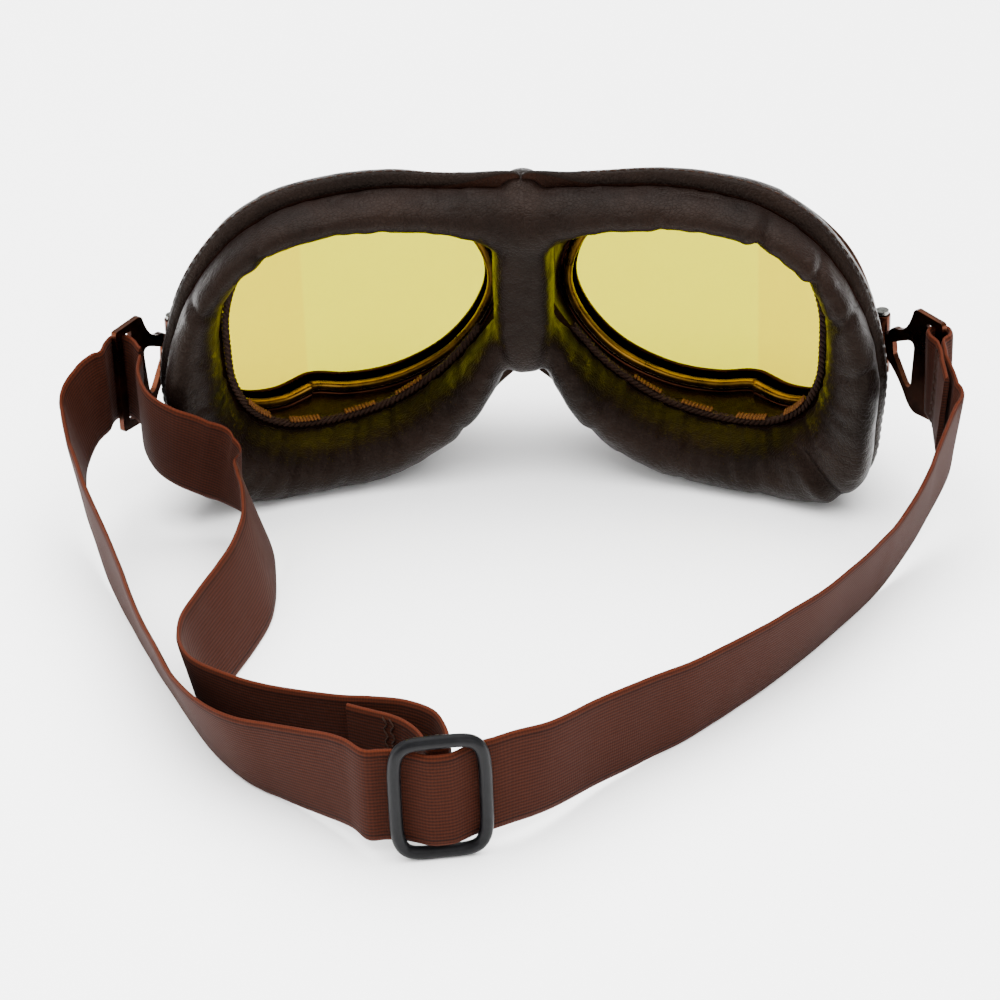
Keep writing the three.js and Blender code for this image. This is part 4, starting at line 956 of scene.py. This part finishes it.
pad = grid_mesh("mask_pad", pad_points)
with bpy.context.temp_override(object=pad, active_object=pad,
                               selected_editable_objects=[pad, nose]):
    bpy.ops.object.join()
remesh = pad.modifiers.new("one_skin", "REMESH")
remesh.mode = "VOXEL"
remesh.voxel_size = 0.00095
soften = pad.modifiers.new("soften", "SMOOTH")
soften.factor, soften.iterations = 0.5, 10
apply_all(pad)
skin = read_vertices(pad.data, "co") * 1000 - SHIFT
normals = read_vertices(pad.data, "normal")
for one in FOLDS:
    skin = fold(skin, normals, *one)
low_side = np.clip((30 - skin[:, 2]) / 22, 0, 1)
ripples = waves(skin * [1, 0.5, 0.6], (17.0, 9.0, 4.5), 7)
wrinkles = waves(skin * [1.0, 0.6, 0.5], (5.0, 3.0), 8)
gather = np.zeros(len(skin))
for side in (1, -1):
    across, upward = skin[:, 0] * side - EYE[0], skin[:, 2] - EYE[1]
    angle, away = np.arctan2(upward, across), np.hypot(across, upward)
    lip = MASK_MM[1:, 2:] - EYE
    lip_angle = np.arctan2(lip[:, 1], lip[:, 0])
    order = np.argsort(lip_angle)
    near = away - np.interp(angle, lip_angle[order], np.hypot(*lip[order].T),
                            period=2 * np.pi)
    folds = sum(np.sin(k * angle + k * side) for k in (19, 31, 47)) / 2.2
    fade = np.exp(-((near - 2.5) / 4.5) ** 2) * (skin[:, 0] * side > 9)
    gather += folds * fade * np.where(upward < 0, 0.42, 0.16)
skin = skin + normals * gather[:, None]
skin = skin + normals * (ripples * (0.16 + 0.12 * low_side) + wrinkles * 0.12)[:, None]
skin[:, 2] = np.maximum(skin[:, 2], 0.1)
pad.data.vertices.foreach_set("co", row(skin).ravel())
pad.data.polygons.foreach_set("use_smooth", [True] * len(pad.data.polygons))
pad.data.materials.clear()
pad.data.materials.append(pad_leather)
pad.data.update()
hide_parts("face_pad_left", "face_pad_right", "nose_piece")
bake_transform(pad)
print("pad and nose faces", len(pad.data.polygons))

# %% [markdown]
# ## The elastic band
# One band, 25 mm wide. It is described by stations of its lower edge, each with a lean: the
# angle in degrees by which its upper edge tips. Near the brackets and the slider the stations
# are given in those parts' own directions, so the band stays threaded. The route is cut into
# pieces where it passes from one rigid body to the next; a piece within one body is attached to
# it, and a piece between two bodies is left where it lies.

# %% Routes of the band
BAND, THICK = 25.0, 1.5
STEPS_PER_SPAN = 12  # rings of the band between two stations
TEMPLE = (95.0775, 6.9304)
SLIDER_AT, SLIDER_YAW = (-11.8, -179.5), math.radians(10)


def near_bracket(side, swing, along, ahead, drop=0.0, lean=0.0):
    """A station measured along a strap bracket from its pin, and ahead of its plate."""
    c, s = math.cos(math.radians(swing)), math.sin(math.radians(swing))
    x = TEMPLE[0] + along * c + ahead * s
    return [side * x, TEMPLE[1] - along * s + ahead * c, 22.7 - drop, lean]


def near_slider(along, ahead):
    """A station measured along the slider and ahead of its middle plane, where the band
    stands upright with its lower edge 4.1 mm above the floor."""
    c, s = math.cos(SLIDER_YAW), math.sin(SLIDER_YAW)
    return [SLIDER_AT[0] + along * c + ahead * s, SLIDER_AT[1] + along * s - ahead * c,
            4.1, 0.0]


SLOT, BAR = 19.6, 22.7
LEFT_TURN = [near_bracket(-1, 58, *v) for v in (
    (SLOT + 1.4, -5.2, 0.9), (SLOT + 0.4, -2.6, 0.4), (SLOT, -0.2), (SLOT + 0.3, 1.55),
    (SLOT + 1.6, 2.45), (BAR + 0.4, 2.55), (25.2, 1.95), (27.5, 1.05, 0.6, 1))]
LEFT_FALL = [[-113.4, -20.5, 20.6, 3], [-116, -27.5, 15, 5], [-115, -36, 9.5, 7],
             [-111, -47, 5.4, 8], [-106, -60, 2, 7], [-100, -74, 0.2, 7]]
LEFT_BACK = [[-93.5, -89, 0, 10], [-86, -105, 0, 15], [-78, -121, 0, 18], [-70, -136.5, 0, 20],
             [-61, -149, 0, 18], [-50, -158, 0.6, 12], [-40, -166.5, 2.2, 6],
             [-33, -173.5, 3.8, 2]]
ARCH = [near_slider(*v) for v in (
    (-16.5, -3.45), (-13, -3.15), (-10, -2.75), (-7.5, -1.85), (-5, -0.45), (-2.5, 0.9),
    (0, 1.15), (2.5, 0.9), (5, -0.45), (7.5, -1.85), (10, -2.75), (13, -3.55),
    (16.5, -4.85))]
RIGHT_BACK = [[11.5, -165.5, 3, 2], [21, -154, 1.6, 4], [33, -141.5, 0.5, 6],
              [46, -128.5, 0, 10], [59, -113.5, 0, 14], [70.5, -98, 0, 17], [80, -83.5, 0, 18]]
RIGHT_FALL = [[87.5, -71.5, 0, 17], [93, -62, 1, 16], [98.5, -52.5, 4, 15], [103.5, -44, 8, 13]]
RIGHT_TURN = [near_bracket(1, 50, *v) for v in (
    (38.5, -11.3, 6.6, 7), (35, -8.5, 4.4, 4), (31, -5.6, 2.6, 2), (27.8, -3, 1.2),
    (25.7, -0.8, 0.3), (25, 1.1), (23.4, 2.5), (21.4, 2.6), (19.9, 1.6), (19.5, 0),
    (19.9, -1.6), (21.4, -2.7, 0.1), (24, -3.6, 0.6, -1), (26.4, -4.9, 1.3, -2),
    (29.6, -7.4, 2.4, -3), (33.4, -10.4, 3.8, -4))]
OUTER = np.array(LEFT_TURN + LEFT_FALL + LEFT_BACK + ARCH + RIGHT_BACK + RIGHT_FALL
                 + RIGHT_TURN)
INNER = np.array([
    [-101.3, -16.4, 22, -1], [-99.6, -24, 19.8, 2], [-96, -31, 17.8, 4], [-91, -34.6, 16, 6],
    [-85, -35.4, 13.5, 9], [-78.5, -34.8, 10.5, 14], [-72.5, -36.2, 7.5, 18],
    [-67.8, -41.2, 5, 18], [-64.6, -49, 3, 17], [-63, -58, 1.2, 17], [-62.3, -68, 0, 18],
    [-62.6, -79, 0, 20], [-65, -91, 0, 21], [-69, -104, 0, 20], [-72.2, -114.5, 0, 18],
    [-73, -123.5, 0, 13], [-70.3, -131, 0, 10], [-64, -137, 0, 8], [-54.5, -143, 0.3, 6],
    [-44.5, -148, 1, 4], [-35.8, -152.3, 2, 2], [-28, -155, 3, 1], [-20, -158.4, 4, 0],
    [-13.6, -163.4, 4.5, 0],
    near_slider(2.65, -9.4), near_slider(2.55, -5.4), near_slider(2.55, -3.4),
    near_slider(1.84, -1.56), near_slider(0, -0.85), near_slider(-1.84, -1.56),
    near_slider(-2.55, -3.4), near_slider(-2.75, -5.4), near_slider(-3.85, -9.4),
    [-21, -166.4, 4, 0], [-27, -161.6, 3, 0], [-33.6, -157.4, 2.2, 0],
])
print("stations: outer", len(OUTER), "inner", len(INNER))


# %% Band surface
def band_frames(route, t):
    """Low edge, length direction, width direction and thickness direction at each t. The
    width direction leans to the right of travel and is kept half way to square."""
    p = through(route, t)
    low, lean = p[:, :3].copy(), np.radians(p[:, 3])
    along = unit(np.gradient(low, axis=0))
    flat = unit(along * [1, 1, 0])
    to_right = np.stack([flat[:, 1], -flat[:, 0], np.zeros(len(t))], -1)
    up = to_right * np.sin(lean)[:, None] + np.array([0, 0, 1]) * np.cos(lean)[:, None]
    up = unit(up - 0.5 * np.sum(up * along, axis=1, keepdims=True) * along)
    thick = unit(np.cross(along, up))
    low[:, 2] = np.maximum(low[:, 2], np.abs(thick[:, 2]) * THICK / 2 + 0.02)
    return low, along, up, thick


def band_piece(name, route, first, last, seed):
    """The band from station first to station last. Its section is a thin bar with rounded
    edges; the faces wander by a fraction of a millimetre, less where bodies meet. The UV
    map runs (length, width) in metres."""
    spans = len(route) - 1
    part = slice(first * STEPS_PER_SPAN, last * STEPS_PER_SPAN + 1)
    t = np.linspace(0, 1, spans * STEPS_PER_SPAN + 1)
    low, _, up, thick = (values[part] for values in band_frames(route, t))
    steps = np.linalg.norm(np.diff(low, axis=0), axis=1)
    length = np.concatenate([[0], np.cumsum(steps)])
    across = np.linspace(0, 1, 25)
    edge = np.sqrt(np.clip(1 - np.abs(2 * across - 1) ** 14, 0, 1))
    half = 0.70 * (0.25 + 0.75 * edge)
    side_a = np.stack([across * BAND, half], -1)
    side_b = np.stack([across[::-1] * BAND, -half[::-1]], -1)
    section = np.vstack([side_a, side_b])
    points = (low[:, None] + up[:, None] * section[None, :, :1]
              + thick[:, None] * section[None, :, 1:])
    calm = np.clip(np.minimum(length, length[-1] - length) / 8.0, 0, 1)[:, None, None]
    ripple = waves(points * [1, 1, 0.6], (38.0, 17.0), seed)[..., None]
    points = points + thick[:, None] * ripple * 0.25 * calm
    points[..., 2] = np.maximum(points[..., 2], 0.05)
    v = np.concatenate([across, across[::-1]]) * BAND / 1000
    uv = np.stack(np.broadcast_arrays(length[:, None] / 1000, v[None]), -1)
    obj = grid_mesh(name, points, uv=uv)
    obj.data.materials.append(webbing)
    return obj, length[-1]


PIECES = [  # name, route, first and last station, CAD solids it stands for, bodies, reach
    ("band_left", OUTER, 0, 14, ("strap_left_turn", "strap_left_fall"),
     ("frame_left", "bracket_left", (-100, -80), (-108, -22))),
    ("band_left_back", OUTER, 14, 22, ("strap_left_run",),
     ("frame_left", "slider", (-62, -148), (-28, -178))),
    ("band_arch", OUTER, 22, 34, ("strap_slider_arch",), ("slider",)),
    ("band_right_back", OUTER, 34, 39, ("strap_right_run",),
     ("slider", "frame_left", (5, -172), (33, -141))),
    ("band_right_side", OUTER, 39, 43, (),
     ("frame_left", "frame_right", (59, -114), (93, -62))),
    ("band_right_end", OUTER, 43, 61, ("strap_right_fall", "strap_right_loop"),
     ("frame_right", "bracket_right", (98, -50), (110, -22))),
    ("band_inner", INNER, 0, 10, ("strap_inner_fall",),
     ("frame_left", "bracket_left", (-70, -36), (-99, -22))),
    ("band_inner_back", INNER, 10, 35, ("strap_inner_run", "strap_slider_loop"),
     ("frame_left", "slider", (-60, -140), (-25, -165))),
]
total = {"outer": 0.0, "inner": 0.0}
for number, (name, route, first, last, solids, held) in enumerate(PIECES):
    piece, length = band_piece(name, route, first, last, 20 + number)
    total["inner" if "inner" in name else "outer"] += length
    if solids:
        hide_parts(*solids)
    if len(held) == 1:
        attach(piece, held[0])
    else:
        a, b, start, stop = held
        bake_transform(piece)
    print(name, round(length), "mm")
print("band lengths mm", {word: round(value) for word, value in total.items()})

# %% [markdown]
# The band's two ends are folded round a bar and sewn down. Across each sewn place run two
# rows of zigzag thread, and the cut end is a little frayed.


# %% Sewn ends
def sewn_end(name, route, station, end, body):
    """Zigzag rows across the band at one station, and frayed threads at the cut end."""
    spans = len(route) - 1
    t = np.linspace(0, 1, spans * STEPS_PER_SPAN + 1)
    low, along, up, thick = band_frames(route, t)
    i, j = int(station * STEPS_PER_SPAN), int(end * STEPS_PER_SPAN) - 1
    height = np.linspace(1.6, BAND - 1.6, 14)
    for row_number, shift in enumerate((-1.1, 1.1)):
        slant = np.where(np.arange(14) % 2, 1.0, -1.0)[:, None]
        for face in (1, -1):
            centres = (low[i] + up[i] * height[:, None] + along[i] * shift
                       + thick[i] * 0.78 * face)
            lie = unit(up[i] + along[i] * slant * 0.8)
            out = np.broadcast_to(thick[i] * face, centres.shape)
            zigzag = place_copies(f"{name}_zigzag_{row_number}_{face + 1}",
                                  stitch_shape(2.3, 0.45, 0.35), centres, lie,
                                  np.cross(out, lie), out)
            zigzag.data.materials.append(thread)
            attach(zigzag, body)
    random = np.random.default_rng(5)
    count = 44
    height = np.linspace(0.5, BAND - 0.5, count)[:, None]
    side = random.uniform(-0.6, 0.6, (count, 1))
    lie = unit(along[j] + up[j] * random.normal(0, 0.3, (count, 1))
               + thick[j] * random.normal(0, 0.25, (count, 1)))
    centres = low[j] + up[j] * height + thick[j] * side * 0.6 - lie * 0.35
    out = unit(np.cross(lie, up[j]))
    fray = place_copies(name + "_fray", stitch_shape(1.5, 0.3, 0.28), centres, lie,
                        np.cross(out, lie), out)
    fray.data.materials.append(webbing)
    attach(fray, body)


sewn_end("right_end", OUTER, 58.5, 61, "bracket_right")
sewn_end("slider_end", INNER, 33.4, 35, "slider")
print("sewn ends made")

# %% [markdown]
# ## Slider
# Moulded black nylon: a rounded rectangle of round bar. Its cross bar is set back 3.4 mm
# and bends forward to the rectangle at its two ends.

# %% Slider
HALF_WIDE, HALF_TALL = 10.5, 15.0
SLIDER_Z = 16.6
BAR_SET_BACK = 3.4


def slider_frame(points):
    """From the slider's own directions (across, back, up) to the drawing's plan."""
    c, s = math.cos(SLIDER_YAW), math.sin(SLIDER_YAW)
    x, y, z = points[..., 0], points[..., 1], points[..., 2]
    return np.stack([SLIDER_AT[0] + x * c - y * s, SLIDER_AT[1] + x * s + y * c,
                     SLIDER_Z + z], -1)


def rounded_loop(half_wide, half_tall, count):
    """Evenly spaced points on a rectangle with round corners, in order round it: a
    superellipse, whose x and z are a cosine and a sine to the power of two fifths."""
    t = np.linspace(0, 2 * np.pi, 4000, endpoint=False)
    power = 5.0
    x = half_wide * np.sign(np.cos(t)) * np.abs(np.cos(t)) ** (2 / power)
    z = half_tall * np.sign(np.sin(t)) * np.abs(np.sin(t)) ** (2 / power)
    steps = np.hypot(np.diff(x, append=x[0]), np.diff(z, append=z[0]))
    place = np.concatenate([[0], np.cumsum(steps)])
    want = np.arange(count) / count * place[-1]
    return (np.interp(want, place, np.append(x, x[0])),
            np.interp(want, place, np.append(z, z[0])))


loop_x, loop_z = rounded_loop(HALF_WIDE, HALF_TALL, 160)
loop = np.stack([loop_x, 0 * loop_x, loop_z], -1)
slider_loop = tube("slider_frame", slider_frame(loop), 1.6, sides=20, closed=True,
                   normal=[-math.sin(SLIDER_YAW), math.cos(SLIDER_YAW), 0])
bar_z = HALF_TALL * np.sin(np.linspace(-1, 1, 60) * np.pi / 2)
bar_back = BAR_SET_BACK * (1 - np.abs(bar_z / HALF_TALL) ** 14)
bar = np.stack([0 * bar_z, bar_back, bar_z], -1)
slider_bar = tube("slider_cross_bar", slider_frame(bar), 1.4, sides=20)
for piece in (slider_loop, slider_bar):
    piece.data.materials.append(slider_plastic)
    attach(piece, "slider")
    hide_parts("slider")
print("slider made")

# %% [markdown]
# ## Thread
# The cup's lining is closed by an overlock: thread wraps the raw edge in slanting turns, so
# it looks like a thin rope. Four bar tacks in lighter thread hold it below each eye. A line
# of small stitches follows the outer seam.


# %% Overlock rope
def resample(path, pitch_mm):
    """Points at even distances along a path, and the step directions there."""
    length = np.concatenate([[0], np.cumsum(np.linalg.norm(np.diff(path, axis=0), axis=1))])
    count = max(int(length[-1] / pitch_mm), 2)
    want = (np.arange(count) + 0.5) / count * length[-1]
    points = np.stack([np.interp(want, length, path[:, k]) for k in range(3)], -1)
    return points, unit(np.gradient(points, axis=0))


def rope(name, path, radius, pitch_mm, body):
    """Slanting turns of thread round an edge: short lens-shaped floats, each turned 38
    degrees from the edge's direction, laid side by side over a thin core tube."""
    centres, along = resample(path, pitch_mm)
    face = unit(np.cross(along, [0, 1.0, 0]))
    back = np.cross(face, along)
    pieces = []
    core = tube(name + "_core", resample(path, 1.2)[0], radius * 0.75, sides=10)
    core.data.materials.append(thread)
    pieces.append(core)
    for k, (a, b) in enumerate(((face, back), (back, -face), (-back, face))):
        lie = along * math.cos(math.radians(38)) + b * math.sin(math.radians(38))
        obj = place_copies(f"{name}_turns_{k}", stitch_shape(radius * 2.3, 1.1, 0.8),
                           centres + a * radius * 0.72, lie, np.cross(a, lie), a)
        obj.data.materials.append(thread)
        pieces.append(obj)
    for obj in pieces:
        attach(obj, body)
    return pieces


for side, word in ((1, "right"), (-1, "left")):
    t = np.linspace(0, 1, 500)
    lip = through(WALL_IN[:-4], t * 0.995 + 0.004)
    path = np.stack([lip[:, 0], seam_y(lip[:, 0]) + 5.9, lip[:, 1]], -1)
    toward = unit(np.stack([EYE[0] - path[:, 0], 0 * t, EYE[1] - path[:, 2]], -1))
    rope(f"overlock_{word}", mirrored(path + toward * 0.9, side), 1.05, 1.5,
         f"frame_{word}")
    centres, along = resample(mirrored(path + toward * 0.9, side), 1.0)
    starts = (np.array([0.6, 0.68, 0.76, 0.84]) * len(centres)).astype(int)
    rows_of = (starts[:, None] + np.arange(9)[None]).ravel()
    centres, along = centres[rows_of], along[rows_of]
    face = unit(np.stack([side * EYE[0] - centres[:, 0], 0 * centres[:, 0],
                          EYE[1] - centres[:, 2]], -1))
    face = unit(face - np.sum(face * along, axis=1, keepdims=True) * along)
    cross = np.cross(face, along)
    tacks = place_copies(f"bar_tacks_{word}", stitch_shape(3.0, 1.0, 0.7),
                         centres + face * 1.35, cross, -along, face)
    tacks.data.materials.append(tack_thread)
    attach(tacks, f"frame_{word}")
    line = SEAM_LINES[word][12:225]
    centres, along = resample(line, 2.6)
    away = unit(np.cross(along, [0, 1.0, 0]))
    from_eye = (centres - mirrored(np.array([[EYE[0], 0, EYE[1]]]), side)) * [1, 0, 1]
    away = away * np.sign(np.sum(away * from_eye, axis=1))[:, None]
    stitches = place_copies(f"seam_stitches_{word}", stitch_shape(1.9, 0.5, 0.35), centres,
                            along, np.cross(away, along), away)
    stitches.data.materials.append(thread)
    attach(stitches, f"frame_{word}")
print("overlock and seam stitches made")

# %% [markdown]
# ## Floor
# The floor is one large sheet of pale paper.

# %% Floor
bpy.ops.mesh.primitive_plane_add(size=8, location=(0, 0, 0))
floor = bpy.context.object
floor.name = "floor"
paper = start_material("pale_paper")
paper[2].inputs["Base Color"].default_value = linear("#f6f6f6")
paper[2].inputs["Roughness"].default_value = 0.8
floor.data.materials.append(paper[0])
